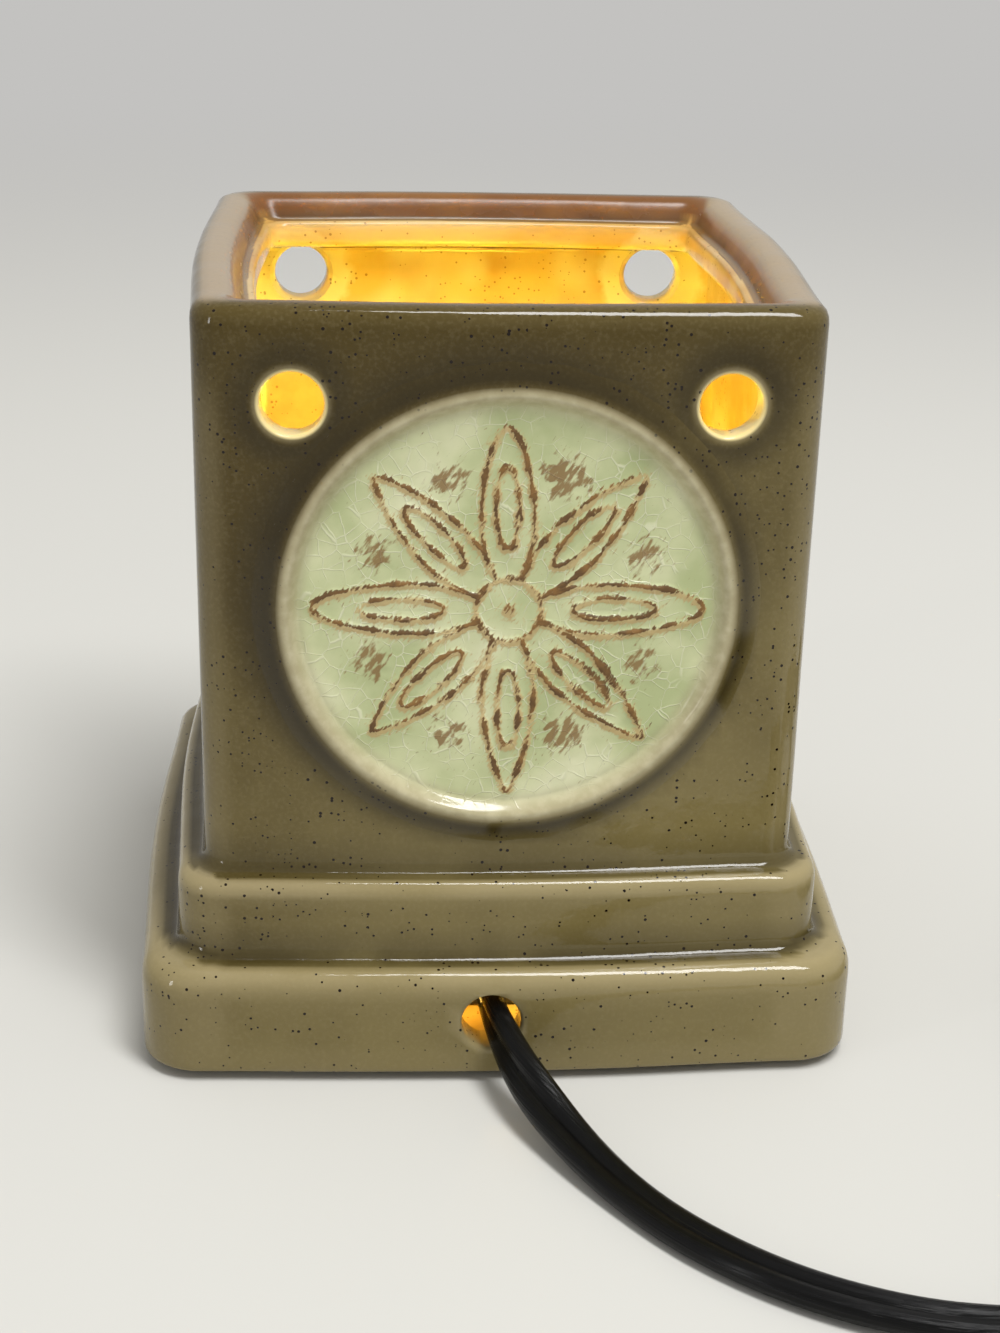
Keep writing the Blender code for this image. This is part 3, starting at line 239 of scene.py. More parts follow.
@dataclass
class Surface:
    """A grid of places: a row for each ring or station, and a column for each step along it."""

    points: Array
    close_rows: bool = False
    close_columns: bool = True
    marks: dict[str, Array] = field(default_factory=dict)

    def faces(self) -> Array:
        """Four corners of each cell of the grid, joined round where the grid closes.

        Returns:
            Rows of four vertex numbers.
        """
        rows, columns = self.points.shape[:2]
        row = np.arange(rows if self.close_rows else rows - 1)
        column = np.arange(columns if self.close_columns else columns - 1)
        row, column = np.meshgrid(row, column, indexing="ij")
        below, beside = (row + 1) % rows * columns, (column + 1) % columns
        row = row * columns
        return np.stack([row + column, row + beside, below + beside, below + column], axis=-1).reshape(-1, 4)

    def moved(self, shift: Place, turn: Matrix | None = None) -> "Surface":
        """The surface turned by a 3x3 matrix, where there is one, and then moved, with the same marks."""
        turned = self.points if turn is None else self.points @ np.array(turn).T
        return Surface(turned + np.array(shift), self.close_rows, self.close_columns, self.marks)


def round_angles(steps: int) -> Array:
    """Angles of so many even steps round a circle."""
    return np.arange(steps) * 2 * np.pi / steps


def rings(radius: Array, level: Array, angle: Array) -> Array:
    """Places (r cos a, r sin a, z) of rings about Z, a row to a ring."""
    return np.stack([radius * np.cos(angle), radius * np.sin(angle), level + 0 * (radius * angle)], axis=-1)


def lathe(profile: Array, steps: int, closed: bool = False) -> Surface:
    """A profile turned about Z: each (radius, height) row becomes a ring of so many steps."""
    return Surface(rings(profile[:, :1], profile[:, 1:2], round_angles(steps)), closed)


def sleeve(outside: Array, inside: Array, height: Array, angle: Array) -> Surface:
    """A closed sleeve about Z: its outer rings going up, then its inner ones going down."""
    level = np.concatenate([height, height[::-1]])
    return Surface(rings(np.concatenate([outside, inside[::-1]]), level, angle), close_rows=True)


def turned(corners: Corners, reach: float, steps: int, closed: bool = False) -> Surface:
    """A run of (radius, height) corners, rounded by a reach and turned about Z."""
    return lathe(eased(np.array(corners, float), reach, 3, closed), steps, closed)


def directions(path: Array, tilt: Array) -> tuple[Array, Array]:
    """Directions across a path: its upright and its level one, turned about the path by a tilt.

    Args:
        path: Rows of places.
        tilt: Turn at each row in degrees, 0 with the first direction upright and 90 with it level.

    Returns:
        The first and the second direction at each row.
    """
    ahead = np.gradient(path, axis=0)
    ahead /= np.linalg.norm(ahead, axis=1, keepdims=True)
    level = np.cross(ahead, [0.0, 0.0, 1.0])
    level /= np.linalg.norm(level, axis=1, keepdims=True)
    upright = np.cross(level, ahead)
    angle = np.radians(tilt)[:, None]
    return upright * np.cos(angle) + level * np.sin(angle), level * np.cos(angle) - upright * np.sin(angle)


def carry(section: Array, path: Array, wide: Array, thick: Array) -> Surface:
    """A section carried along a path: path + across * wide + up * thick, with both ends drawn to a point.

    Args:
        section: Rows of (across, up), closed.
        path: Rows of places.
        wide: Direction of across at each row.
        thick: Direction of up at each row.

    Returns:
        The carried surface, with marks for the length along it and the share of the way round it.
    """
    body = path[:, None] + section[None, :, :1] * wide[:, None] + section[None, :, 1:] * thick[:, None]
    ends = [np.broadcast_to(path[i], (1, len(section), 3)) for i in (0, -1)]
    along = distance_along(path)
    along = np.concatenate([along[:1], along, along[-1:]])[:, None] + np.zeros(len(section))
    around = np.zeros((len(along), 1)) + np.abs(np.linspace(-1, 1, len(section)))
    return Surface(np.concatenate([ends[0], body, ends[1]]), marks={"along": along, "around": around})


def wire(path: Array, radius: float, steps: int = 12) -> Surface:
    """A round wire: the circle (r cos a, r sin a) carried along a path."""
    circle = rings(radius, 0.0, round_angles(steps))[:, :2]
    return carry(circle, path, *directions(path, np.zeros(len(path))))


# Pieces


def tidy(mesh: bpy.types.Mesh) -> None:
    """Merges a mesh's doubles and turns its faces outwards.

    Args:
        mesh: The mesh to change.
    """
    shape = bmesh.new()
    shape.from_mesh(mesh)
    bmesh.ops.remove_doubles(shape, verts=shape.verts, dist=WELD)
    bmesh.ops.dissolve_degenerate(shape, edges=shape.edges, dist=WELD)
    bmesh.ops.recalc_face_normals(shape, faces=shape.faces)
    shape.to_mesh(mesh)
    shape.free()


def as_mesh(name: str, surfaces: list[Surface]) -> bpy.types.Mesh:
    """A mesh of surfaces, with their marks as attributes.

    Args:
        name: Name of the mesh.
        surfaces: Its surfaces, which all carry the same marks.

    Returns:
        The tidied mesh.
    """
    points = np.concatenate([surface.points.reshape(-1, 3) for surface in surfaces])
    sizes = [surface.points.shape[0] * surface.points.shape[1] for surface in surfaces]
    starts = np.cumsum([0, *sizes[:-1]])
    faces = np.concatenate([surface.faces() + start for surface, start in zip(surfaces, starts)])
    mesh = bpy.data.meshes.new(name)
    mesh.vertices.add(len(points))
    mesh.vertices.foreach_set("co", points.ravel())
    mesh.loops.add(faces.size)
    mesh.loops.foreach_set("vertex_index", faces.ravel())
    mesh.polygons.add(len(faces))
    mesh.polygons.foreach_set("loop_start", np.arange(0, faces.size, 4))
    mesh.update(calc_edges=True)
    mesh.validate()
    for mark in surfaces[0].marks:
        values = np.concatenate([np.ravel(surface.marks[mark]) for surface in surfaces])
        write_mark(mesh, mark, values)
    tidy(mesh)
    return mesh


def write_mark(mesh: bpy.types.Mesh, name: str, values: Array) -> None:
    """Writes a number for each vertex as an attribute that a finish can read."""
    made = mesh.attributes.new(name, "FLOAT", "POINT")
    made.data.foreach_set("value", np.ascontiguousarray(values, np.float32))


def shown(name: str, data: bpy.types.ID) -> Piece:
    """An object that holds some data, linked into the scene.

    Args:
        name: Name of the object.
        data: A mesh, a light or a camera.

    Returns:
        The object.
    """
    made = bpy.data.objects.new(name, data)
    bpy.context.scene.collection.objects.link(made)
    return made


def settle(piece: Piece, finish: "Finish", rides: Rides, nodes: tuple[str, ...], crease: float) -> Piece:
    """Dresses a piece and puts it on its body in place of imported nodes.

    Args:
        piece: The piece.
        finish: Its finish.
        rides: The body it moves with.
        nodes: The nodes it stands for.
        crease: Edges sharper than this many degrees stay sharp.

    Returns:
        The piece.
    """
    piece.data.materials.clear()
    piece.data.materials.append(finish.material())
    piece.data.shade_smooth()
    piece.data.set_sharp_from_angle(angle=math.radians(crease))
    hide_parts(*nodes)
    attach(piece, rides.value)
    LOG.info("%s: %d faces, rides on %s", piece.name, len(piece.data.polygons), rides.value)
    return piece


def make_piece(
    name: str,
    surface: Surface,
    finish: "Finish",
    *nodes: str,
    rides: Rides = Rides.BASE,
    crease: float = CREASE,
) -> Piece:
    """A piece made of a surface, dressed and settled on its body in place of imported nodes."""
    return settle(shown(name, as_mesh(name, [surface])), finish, rides, nodes, crease)


def refined(node: str, finish: "Finish", edge: float = 0.0) -> Piece:
    """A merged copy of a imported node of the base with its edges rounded, in place of the node.

    Args:
        node: The node that is copied and stood for.
        finish: Its finish.
        edge: Width of the rounding, or 0 for none.

    Returns:
        The piece.
    """
    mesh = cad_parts[node].data.copy()
    shape = bmesh.new()
    shape.from_mesh(mesh)
    bmesh.ops.remove_doubles(shape, verts=shape.verts, dist=SOLID_WELD)
    bmesh.ops.dissolve_limit(shape, angle_limit=FLAT_ANGLE, verts=shape.verts, edges=shape.edges)
    shape.to_mesh(mesh)
    shape.free()
    piece = shown(node + "_refined", mesh)
    if edge:
        rounding = piece.modifiers.new("Edges", "BEVEL")
        rounding.width = edge
        rounding.segments = 3
        rounding.limit_method = "ANGLE"
        rounding.angle_limit = EDGE_ANGLE
    return settle(piece, finish, Rides.BASE, (node,), CREASE)


# Finishes


class Graph:
    """Nodes of one material, put together in small steps."""

    def __init__(self, name: str) -> None:
        """Starts a material with its shader and its Object coordinates.

        Args:
            name: Name of the material.
        """
        self.material = bpy.data.materials.new(name)
        self.material.use_nodes = True
        self.tree = self.material.node_tree
        self.shader = next(node for node in self.tree.nodes if node.type == "BSDF_PRINCIPLED")
        self.place = self.add("TexCoord").outputs["Object"]

    def feed(self, socket: Socket, value: object) -> None:
        """Links a socket to a value that varies, or sets it to one that doesn't.

        Args:
            socket: The socket.
            value: Another socket, or a plain value.
        """
        if isinstance(value, Socket):
            self.tree.links.new(value, socket)
        else:
            socket.default_value = value

    def add(self, kind: str, settings: dict | None = None, inputs: dict | None = None) -> bpy.types.Node:
        """A node of a kind.

        Args:
            kind: Its type, without the common prefix.
            settings: Properties to set.
            inputs: Sockets to feed, by name or number.

        Returns:
            The node.
        """
        made = self.tree.nodes.new("ShaderNode" + kind)
        for name, value in (settings or {}).items():
            setattr(made, name, value)
        for key, value in (inputs or {}).items():
            self.feed(made.inputs[key], value)
        return made

    def shade(self, sockets: dict) -> None:
        """Feeds the shader's own sockets by name."""
        for name, value in sockets.items():
            self.feed(self.shader.inputs[name], value)

    def noise(self, scale: float, detail: float = 3.0, vector: Socket | None = None) -> Socket:
        """Cloudy noise of so many waves to the metre."""
        inputs = {"Vector": vector or self.place, "Scale": scale, "Detail": detail}
        return self.add("TexNoise", inputs=inputs).outputs[0]

    def math(self, operation: str, first: object, second: object = 0.0, third: object = 0.0) -> Socket:
        """Arithmetic on two or three numbers."""
        return self.add("Math", {"operation": operation}, {0: first, 1: second, 2: third}).outputs[0]

    def times(self, first: object, second: object) -> Socket:
        """Product of two numbers."""
        return self.math("MULTIPLY", first, second)

    def axes(self) -> list[Socket]:
        """X, Y and Z of the Object coordinates."""
        return list(self.add("SeparateXYZ", inputs={0: self.place}).outputs)

    def span(self, value: Socket, low: object, high: object, top: object = 1.0) -> Socket:
        """A smooth rise from 0 at low to a top value at high."""
        inputs = {"Value": value, "From Min": low, "From Max": high, "To Max": top}
        return self.add("MapRange", {"interpolation_type": "SMOOTHSTEP"}, inputs).outputs[0]

    def mix(self, share: object, first: object, second: object) -> Socket:
        """A blend of two colours."""
        return self.add("Mix", {"data_type": "RGBA"}, {0: share, 6: first, 7: second}).outputs[2]

    def mark(self, name: str) -> Socket:
        """An attribute of the piece."""
        return self.add("Attribute", {"attribute_name": name}).outputs["Fac"]

    def bump(
        self, height: Socket, depth: float, strength: float = 1.0, under: Socket | None = None
    ) -> Socket:
        """Small relief.

        Args:
            height: Height from 0 to 1.
            depth: What 1 stands for.
            strength: Share of its effect.
            under: Relief that it lies on.

        Returns:
            The changed normal.
        """
        inputs = {"Height": height, "Distance": depth, "Strength": strength}
        if under is not None:
            inputs["Normal"] = under
        return self.add("Bump", inputs=inputs).outputs[0]


@dataclass(frozen=True)
class Finish:
    """A finish, which becomes a material at its first use."""

    name: str
    slot: str

    def material(self) -> bpy.types.Material:
        """The finish's material.

        Returns:
            The material, made once.
        """
        label = "finish_" + self.name
        if label in bpy.data.materials:
            return bpy.data.materials[label]
        graph = Graph(label)
        self.dress(graph)
        return graph.material

    def dress(self, graph: Graph) -> None:
        """Adds the finish's nodes to a graph."""
        raise NotImplementedError


@dataclass(frozen=True)
class Grained(Finish):
    """A plain material with a second tone, a grain in its relief and an uneven gloss."""

    light: Colour
    dark: Colour
    scale: float
    rough: float
    spread: float
    depth: float
    metallic: float = 0.0

    def dress(self, graph: Graph) -> None:
        """Mixes two tones by cloudy noise, with finer noise for the gloss and the relief.

        Args:
            graph: Graph of the material.
        """
        cloud = graph.noise(self.scale, 4.0)
        grain = graph.noise(self.scale * 9, 3.0)
        gloss = graph.span(grain, 0.2, 0.8, self.spread)
        graph.shade({
            "Base Color": graph.mix(graph.span(cloud, 0.3, 0.7), self.dark, self.light),
            "Roughness": graph.math("ADD", gloss, self.rough),
            "Metallic": self.metallic,
            "Normal": graph.bump(grain, self.depth),
        })


@dataclass(frozen=True)
class TaupeGlaze(Finish):
    """Glossy taupe glaze: dark where it pools, pale where it breaks over an edge, with specks. Painted shade
    darkens it upwards and to the left, a painted reflection of the sky pales the rims, and the rim's inner
    slope is brown that is partly rust and partly the bulb's painted glow.
    """

    face: Colour = tone(128, 115, 72)
    # The deep tone is reached through random clouds and through painted shade upwards and to the left.
    deep: Colour = tone(72, 58, 14)
    pale: Colour = tone(172, 158, 120)
    pool: Colour = tone(42, 33, 4)
    speck: Colour = tone(22, 10, 1)
    # This pale pink-grey is a painted reflection of the sky on the rims.
    painted_sheen: Colour = tone(186, 164, 134)
    # Rust, amber and umber also paint the bulb's warm glow on the rim's inner slope and the lip's shadow at
    # its crease; amber and cream also paint the bulb's uneven light and shade on the lining.
    rust: Colour = tone(116, 70, 26)
    amber: Colour = tone(178, 126, 62)
    umber: Colour = tone(74, 42, 14)
    lining: Colour = tone(222, 184, 98)
    cream: Colour = tone(240, 222, 160)
    # Painted shade: the glaze is drawn darker upwards over these heights and to the left by this lean.
    painted_shade_levels: Pair = (0.03, 0.137)
    painted_shade_lean: float = 1.6
    speck_cells: float = 980.0
    speck_least: float = 0.125
    speck_spread: float = 0.19
    speck_edge: float = 0.05
    speck_rarity: float = 0.87
    speck_rise: float = -0.95
    vent_thin: Pair = (0.0070, 0.0056)
    vent_pool: tuple[float, float, float] = (0.0062, 0.0076, 0.0135)
    vent_cream: Pair = (0.0061, 0.0055)
    vent_runs: Pair = (0.0130, 0.0060)
    lip_levels: Pair = (0.1262, 0.1285)
    wall_middle: float = 0.0498
    least_rough: float = 0.05
    worn_rough: float = 0.2

    def body(self, graph: Graph, thin: Socket, pooled: Socket) -> Socket:
        """Colour of the glaze: painted shade that darkens it upwards and to the left, clouded, pale where
        thin, dark where pooled.

        Args:
            graph: The graph it is added to.
            thin: How thin the glaze lies.
            pooled: How much of it has run together.

        Returns:
            The colour.
        """
        cloud = graph.noise(34.0, 4.0)
        across, _, up = graph.axes()
        # Painted shade: the glaze darkens upwards and to the left, with random clouds added to it.
        lean = graph.times(across, self.painted_shade_lean)
        painted_shade = graph.math("SUBTRACT", graph.span(up, *self.painted_shade_levels, 0.32), lean)
        painted_shade = graph.math("MULTIPLY_ADD", cloud, 0.36, painted_shade)
        base = graph.mix(graph.span(painted_shade, 0.08, 0.52), self.face, self.deep)
        fine = graph.noise(1400.0, 4.0)
        base = graph.mix(graph.span(fine, 0.42, 0.75, 0.08), base, self.pale)
        uneven = graph.times(thin, graph.span(cloud, 0.1, 0.6, 0.6))
        base = graph.mix(uneven, base, self.pale)
        uneven = graph.times(pooled, graph.span(cloud, 0.0, 0.55, 0.92))
        base = graph.mix(uneven, base, self.pool)
        return graph.mix(self.specks(graph), base, self.speck)

    def specks(self, graph: Graph) -> Socket:
        """Round specks of uneven size, thicker together in clusters and towards the rim.

        Args:
            graph: The graph they are added to.

        Returns:
            1 on a speck and 0 beside it.
        """
        cells = graph.add("TexVoronoi", inputs={"Vector": graph.place, "Scale": self.speck_cells})
        chance = graph.add("SeparateColor", inputs={0: cells.outputs["Color"]}).outputs
        size = graph.math("MULTIPLY_ADD", chance[1], self.speck_spread, self.speck_least)
        spot = graph.span(cells.outputs["Distance"], size, graph.math("SUBTRACT", size, self.speck_edge))
        cluster = graph.span(graph.noise(62.0, 3.0), 0.42, 0.72, 0.45)
        upwards = graph.math("MULTIPLY_ADD", graph.axes()[2], self.speck_rise, self.speck_rarity)
        rarity = graph.math("SUBTRACT", upwards, cluster)
        return graph.times(spot, graph.math("GREATER_THAN", chance[0], rarity))

    def vents(self, graph: Graph) -> tuple[Socket, Socket]:
        """Where the vents are.

        Args:
            graph: The graph they are added to.

        Returns:
            Distance from the axis of the nearest vent, and 1 on the outer half of the wall round it.
        """
        across, ahead, up = graph.axes()
        across = graph.math("SUBTRACT", graph.math("ABSOLUTE", across), VENT_REACH)
        up = graph.math("SUBTRACT", up, VENT_LEVEL)
        square = graph.math("MULTIPLY_ADD", across, across, graph.times(up, up))
        outer = graph.math("GREATER_THAN", graph.math("ABSOLUTE", ahead), self.wall_middle)
        return graph.math("SQRT", square), outer

    def relief(self, graph: Graph) -> Socket:
        """Slow waves of the glaze with a fine skin on them."""
        waves = graph.bump(graph.noise(70.0, 2.0), 0.0009, 0.35)
        return graph.bump(graph.noise(900.0, 2.0), 0.00006, 0.3, waves)

    def outside(self, graph: Graph, vent: Socket, outer: Socket) -> Socket:
        """Glaze of the outer faces: a painted reflection of the sky pales the rims, the rim's inner slope is
        brown that is partly rust and partly the bulb's painted glow, with the lip's painted shadow at its
        crease, and the edges of the vents are pale.

        Args:
            graph: The graph it is added to.
            vent: Distance from the axis of the nearest vent.
            outer: 1 on the outer half of the wall.

        Returns:
            The colour.
        """
        thin = graph.times(graph.span(vent, *self.vent_thin), outer)
        near, full, far = self.vent_pool
        ring = graph.times(graph.span(vent, near, full, 0.75), graph.span(vent, far, full))
        pooled = graph.math("MAXIMUM", graph.mark("pooled"), graph.times(ring, outer))
        colour = self.body(graph, graph.math("MAXIMUM", graph.mark("thin"), thin), pooled)
        # Painted reflection: a pale pink-grey on the rims stands in for the sky reflected in them.
        colour = graph.mix(graph.times(graph.mark("painted_sheen"), 0.6), colour, self.painted_sheen)
        # The brown on the rim's inner slope is partly rust and partly the bulb's painted glow, with umber at
        # its crease as the lip's painted shadow.
        rim_glow = graph.mix(graph.span(graph.noise(60.0, 3.0), 0.4, 0.8, 0.5), self.rust, self.amber)
        rim_glow = graph.mix(graph.times(graph.mark("pooled"), 0.9), rim_glow, self.umber)
        colour = graph.mix(graph.times(graph.mark("rust_and_glow"), 0.88), colour, rim_glow)
        return graph.mix(graph.span(vent, *self.vent_cream, 0.9), colour, self.cream)

    def lined(self, graph: Graph, vent: Socket, lip: Socket) -> Socket:
        """Lining of the inner faces: clouds of amber and cream that paint the bulb's uneven light, painted
        shade in amber up the lip, and cream runs round the vents.

        Args:
            graph: The graph it is added to.
            vent: Distance from the axis of the nearest vent.
            lip: How far up the lip it is.

        Returns:
            The colour.
        """
        # Painted light: amber and cream clouds stand in for the bulb's uneven light on the lining.
        colour = graph.mix(graph.span(graph.noise(75.0, 4.0), 0.6, 0.35, 0.4), self.lining, self.amber)
        colour = graph.mix(graph.span(graph.noise(40.0, 2.0), 0.45, 0.65, 0.8), colour, self.cream)
        runs = graph.math("MULTIPLY_ADD", graph.noise(300.0, 3.0), 0.7, graph.span(vent, *self.vent_runs))
        colour = graph.mix(graph.span(runs, 0.5, 0.9, 0.95), colour, self.cream)
        # Painted shade: amber darkens the lip towards its top.
        colour = graph.mix(lip, colour, self.amber)
        colour = graph.mix(graph.times(graph.mark("pooled"), 0.7), colour, self.umber)
        return graph.mix(graph.times(self.specks(graph), 0.6), colour, self.rust)

    def dress(self, graph: Graph) -> None:
        """Taupe glaze outside and a paler lining inside, with a gloss that is duller on the rim's inner slope
        and up the inner lip.

        Args:
            graph: Graph of the material.
        """
        inside = graph.mark("inside")
        vent, outer = self.vents(graph)
        lip = graph.span(graph.axes()[2], *self.lip_levels, 0.45)
        gloss = graph.math("ADD", graph.span(graph.noise(160.0, 4.0), 0.3, 0.8, 0.06), self.least_rough)
        rim_glow = graph.math("MAXIMUM", graph.mark("rust_and_glow"), graph.times(lip, inside))
        faces = self.outside(graph, vent, outer), self.lined(graph, vent, lip)
        graph.shade({
            "Base Color": graph.mix(graph.times(inside, 0.92), *faces),
            "Roughness": graph.math("MULTIPLY_ADD", rim_glow, self.worn_rough, gloss),
            "Specular IOR Level": 0.34,
            "Normal": self.relief(graph),
        })


@dataclass(frozen=True)
class GreenGlaze(Finish):
    """Pale green crackle glaze with brown stain on raised lines, running into taupe glaze at its edge."""

    glaze: TaupeGlaze
    green: Colour = tone(208, 212, 167)
    milky: Colour = tone(226, 226, 190)
    leafy: Colour = tone(180, 189, 138)
    stain: Colour = tone(84, 50, 10)
    rust: Colour = tone(128, 88, 38)
    brush: Colour = tone(132, 95, 46)
    buff: Colour = tone(198, 168, 114)
    bead: Colour = tone(172, 163, 129)
    bead_pale: Colour = tone(188, 180, 147)
    crack: Colour = tone(230, 230, 200)
    crack_cells: float = 330.0
    crack_drift: float = 0.0018
    stroke_slant: float = 0.6
    stroke_stretch: float = 3.3

    def dress(self, graph: Graph) -> None:
        """Green field, crackle, stain on the lines, beige over the bead and taupe beyond it.

        Args:
            graph: Graph of the material.
        """
        cloud = graph.noise(60.0, 4.0)
        field_tone = graph.mix(graph.span(cloud, 0.35, 0.6), self.leafy, self.green)
        field_tone = graph.mix(graph.span(cloud, 0.52, 0.75), field_tone, self.milky)
        ridges = self.crackle(graph)
        colour = graph.mix(graph.times(ridges, 0.58), field_tone, self.crack)
        ragged = self.strokes(graph, 2600.0)
        halo = graph.span(graph.math("MULTIPLY_ADD", ragged, 1.3, graph.mark("halo")), 0.96, 1.36, 0.8)
        colour = graph.mix(halo, colour, self.buff)
        brown = graph.mix(graph.span(graph.noise(240.0, 3.0), 0.38, 0.6), self.rust, self.stain)
        colour = graph.mix(self.brushing(graph), colour, self.brush)
        line = graph.span(graph.math("MULTIPLY_ADD", ragged, 1.9, graph.mark("line")), 1.26, 1.58)
        colour = graph.mix(graph.times(line, 0.92), colour, brown)
        bead = graph.mix(graph.span(graph.noise(420.0, 5.0), 0.35, 0.7), self.bead, self.bead_pale)
        colour = graph.mix(graph.mark("bead"), colour, bead)
        taupe = self.glaze.body(graph, graph.mark("thin"), graph.mark("pooled"))
        colour = graph.mix(graph.mark("rim"), colour, taupe)
        skin = graph.bump(graph.noise(140.0, 2.0), 0.0004, 0.15)
        graph.shade({
            "Base Color": colour,
            "Roughness": graph.math("MULTIPLY_ADD", line, 0.35, 0.13),
            "Specular IOR Level": 0.42,
            "Normal": graph.bump(ridges, 0.00018, 0.5, skin),
        })

    def crackle(self, graph: Graph) -> Socket:
        """Fine broken ridges on the field: edges of wandering cells, kept here and there.

        Args:
            graph: The graph they are added to.

        Returns:
            1 on a ridge and 0 beside it.
        """
        inputs = {"Vector": graph.place, "Scale": 150.0, "Detail": 2.0}
        drift = graph.add("TexNoise", inputs=inputs).outputs[1]
        inputs = {0: drift, 1: (self.crack_drift,) * 3, 2: graph.place}
        wander = graph.add("VectorMath", {"operation": "MULTIPLY_ADD"}, inputs)
        inputs = {"Vector": wander.outputs[0], "Scale": self.crack_cells}
        cells = graph.add("TexVoronoi", {"feature": "DISTANCE_TO_EDGE"}, inputs).outputs[0]
        broken = graph.span(graph.noise(150.0, 2.0), 0.36, 0.5)
        field = graph.math("SUBTRACT", 1.0, graph.mark("bead"))
        return graph.times(graph.span(cells, 0.045, 0.006), graph.times(broken, field))

    def strokes(self, graph: Graph, scale: float) -> Socket:
        """Short slanted strokes: noise drawn out along them.

        Args:
            graph: The graph they are added to.
            scale: Waves to the metre.

        Returns:
            Noise from 0 to 1.
        """
        slant, stretch = (0.0, self.stroke_slant, 0.0), (1.0, 1.0, self.stroke_stretch)
        inputs = {"Vector": graph.place, "Rotation": slant, "Scale": stretch}
        return graph.noise(scale, 3.0, graph.add("Mapping", {"vector_type": "TEXTURE"}, inputs).outputs[0])

    def brushing(self, graph: Graph) -> Socket:
        """How much stain the strokes in the brushed patches hold."""
        caught = graph.math("MULTIPLY_ADD", graph.mark("brushed"), 0.42, self.strokes(graph, 1500.0))
        return graph.span(caught, 0.74, 0.94, 0.85)


@dataclass(frozen=True)
class Felt(Finish):
    """Pressed felt of short mixed fibres."""

    light: Colour = tone(72, 70, 68)
    dark: Colour = tone(34, 33, 32)
    fibre_waves: float = 900.0

    def dress(self, graph: Graph) -> None:
        """Fibres from stretched noise, two ways across each other.

        Args:
            graph: Graph of the material.
        """
        ways = []
        for turn, stretch in ((0.7, (1.0, 6.0, 3.0)), (-0.5, (6.0, 1.0, 3.0))):
            inputs = {"Vector": graph.place, "Rotation": (0.0, 0.0, turn), "Scale": stretch}
            ways.append(graph.noise(self.fibre_waves, 4.0, graph.add("Mapping", inputs=inputs).outputs[0]))
        fibres = graph.math("MAXIMUM", *ways)
        graph.shade({
            "Base Color": graph.mix(graph.span(fibres, 0.45, 0.75), self.dark, self.light),
            "Roughness": 0.95,
            "Sheen Weight": 0.4,
            "Normal": graph.bump(fibres, 0.0004),
        })


@dataclass(frozen=True)
class CordVinyl(Finish):
    """Semi-gloss black vinyl with fine lines drawn along it."""

    light: Colour = tone(11, 11, 12)
    dark: Colour = tone(4, 4, 4)
    waves_along: float = 22.0
    waves_around: float = 26.0

    def dress(self, graph: Graph) -> None:
        """Long streaks from noise on the length along the cord and the way round it.

        Args:
            graph: Graph of the material.
        """
        along = graph.times(graph.mark("along"), self.waves_along)
        around = graph.times(graph.mark("around"), self.waves_around)
        drawn = graph.add("CombineXYZ", inputs={0: along, 1: around}).outputs[0]
        streaks = graph.noise(1.0, 4.0, drawn)
        graph.shade({
            "Base Color": graph.mix(graph.span(streaks, 0.35, 0.7), self.dark, self.light),
            "Roughness": graph.math("ADD", graph.span(streaks, 0.3, 0.8, 0.12), 0.13),
            "Specular IOR Level": 0.2,
            "Normal": graph.bump(streaks, 0.0004, 0.6),
        })


@dataclass(frozen=True)
class ClearGlass(Finish):
    """Clear blown glass with faint waves in it."""

    tint: Colour = tone(252, 250, 246)

    def dress(self, graph: Graph) -> None:
        """Full transmission, with slow noise in the relief and the gloss.

        Args:
            graph: Graph of the material.
        """
        waves = graph.noise(60.0, 2.0)
        graph.shade({
            "Base Color": self.tint,
            "Roughness": graph.span(waves, 0.4, 0.8, 0.02),
            "Transmission Weight": 1.0,
            "IOR": 1.48,
            "Normal": graph.bump(waves, 0.0003, 0.4),
        })


@dataclass(frozen=True)
class LitTungsten(Finish):
    """Glowing tungsten wire."""

    wire: Colour = tone(120, 112, 104)
    glow: Colour = tone(255, 190, 92)
    hottest: Colour = tone(255, 214, 140)
    strength: float = 12.0

    def dress(self, graph: Graph) -> None:
        """A warm glow, mottled a little by noise.

        Args:
            graph: Graph of the material.
        """
        spread = graph.noise(3000.0, 2.0)
        hot = graph.mix(graph.span(spread, 0.3, 0.7), self.glow, self.hottest)
        graph.shade({"Base Color": self.wire, "Roughness": 0.5})
        graph.shade({"Emission Color": hot, "Emission Strength": self.strength})


TAUPE = TaupeGlaze("taupe", "taupe_glaze")
GREEN = GreenGlaze("green", "green_glaze", TAUPE)
FELT = Felt("felt", "felt")
VINYL = CordVinyl("vinyl", "cord_vinyl")
GLASS = ClearGlass("glass", "glass")
TUNGSTEN = LitTungsten("tungsten", "tungsten")
ZINC = Grained(
    "zinc", "zinc", tone(200, 199, 195), tone(176, 176, 174),
    scale=240.0, rough=0.28, spread=0.2, depth=0.00004, metallic=1.0,
)
NICKEL = Grained(
    "nickel", "nickel", tone(214, 210, 202), tone(190, 186, 178),
    scale=180.0, rough=0.18, spread=0.14, depth=0.00003, metallic=1.0,
)
BRASS = Grained(
    "brass", "brass", tone(212, 184, 120), tone(178, 146, 84),
    scale=160.0, rough=0.24, spread=0.2, depth=0.00004, metallic=1.0,
)
FIBRE = Grained(
    "fibre", "fibre", tone(140, 84, 58), tone(104, 58, 40),
    scale=500.0, rough=0.7, spread=0.2, depth=0.0001,
)
PORCELAIN = Grained(
    "porcelain", "porcelain", tone(236, 231, 222), tone(222, 216, 205),
    scale=90.0, rough=0.18, spread=0.14, depth=0.00004,
)
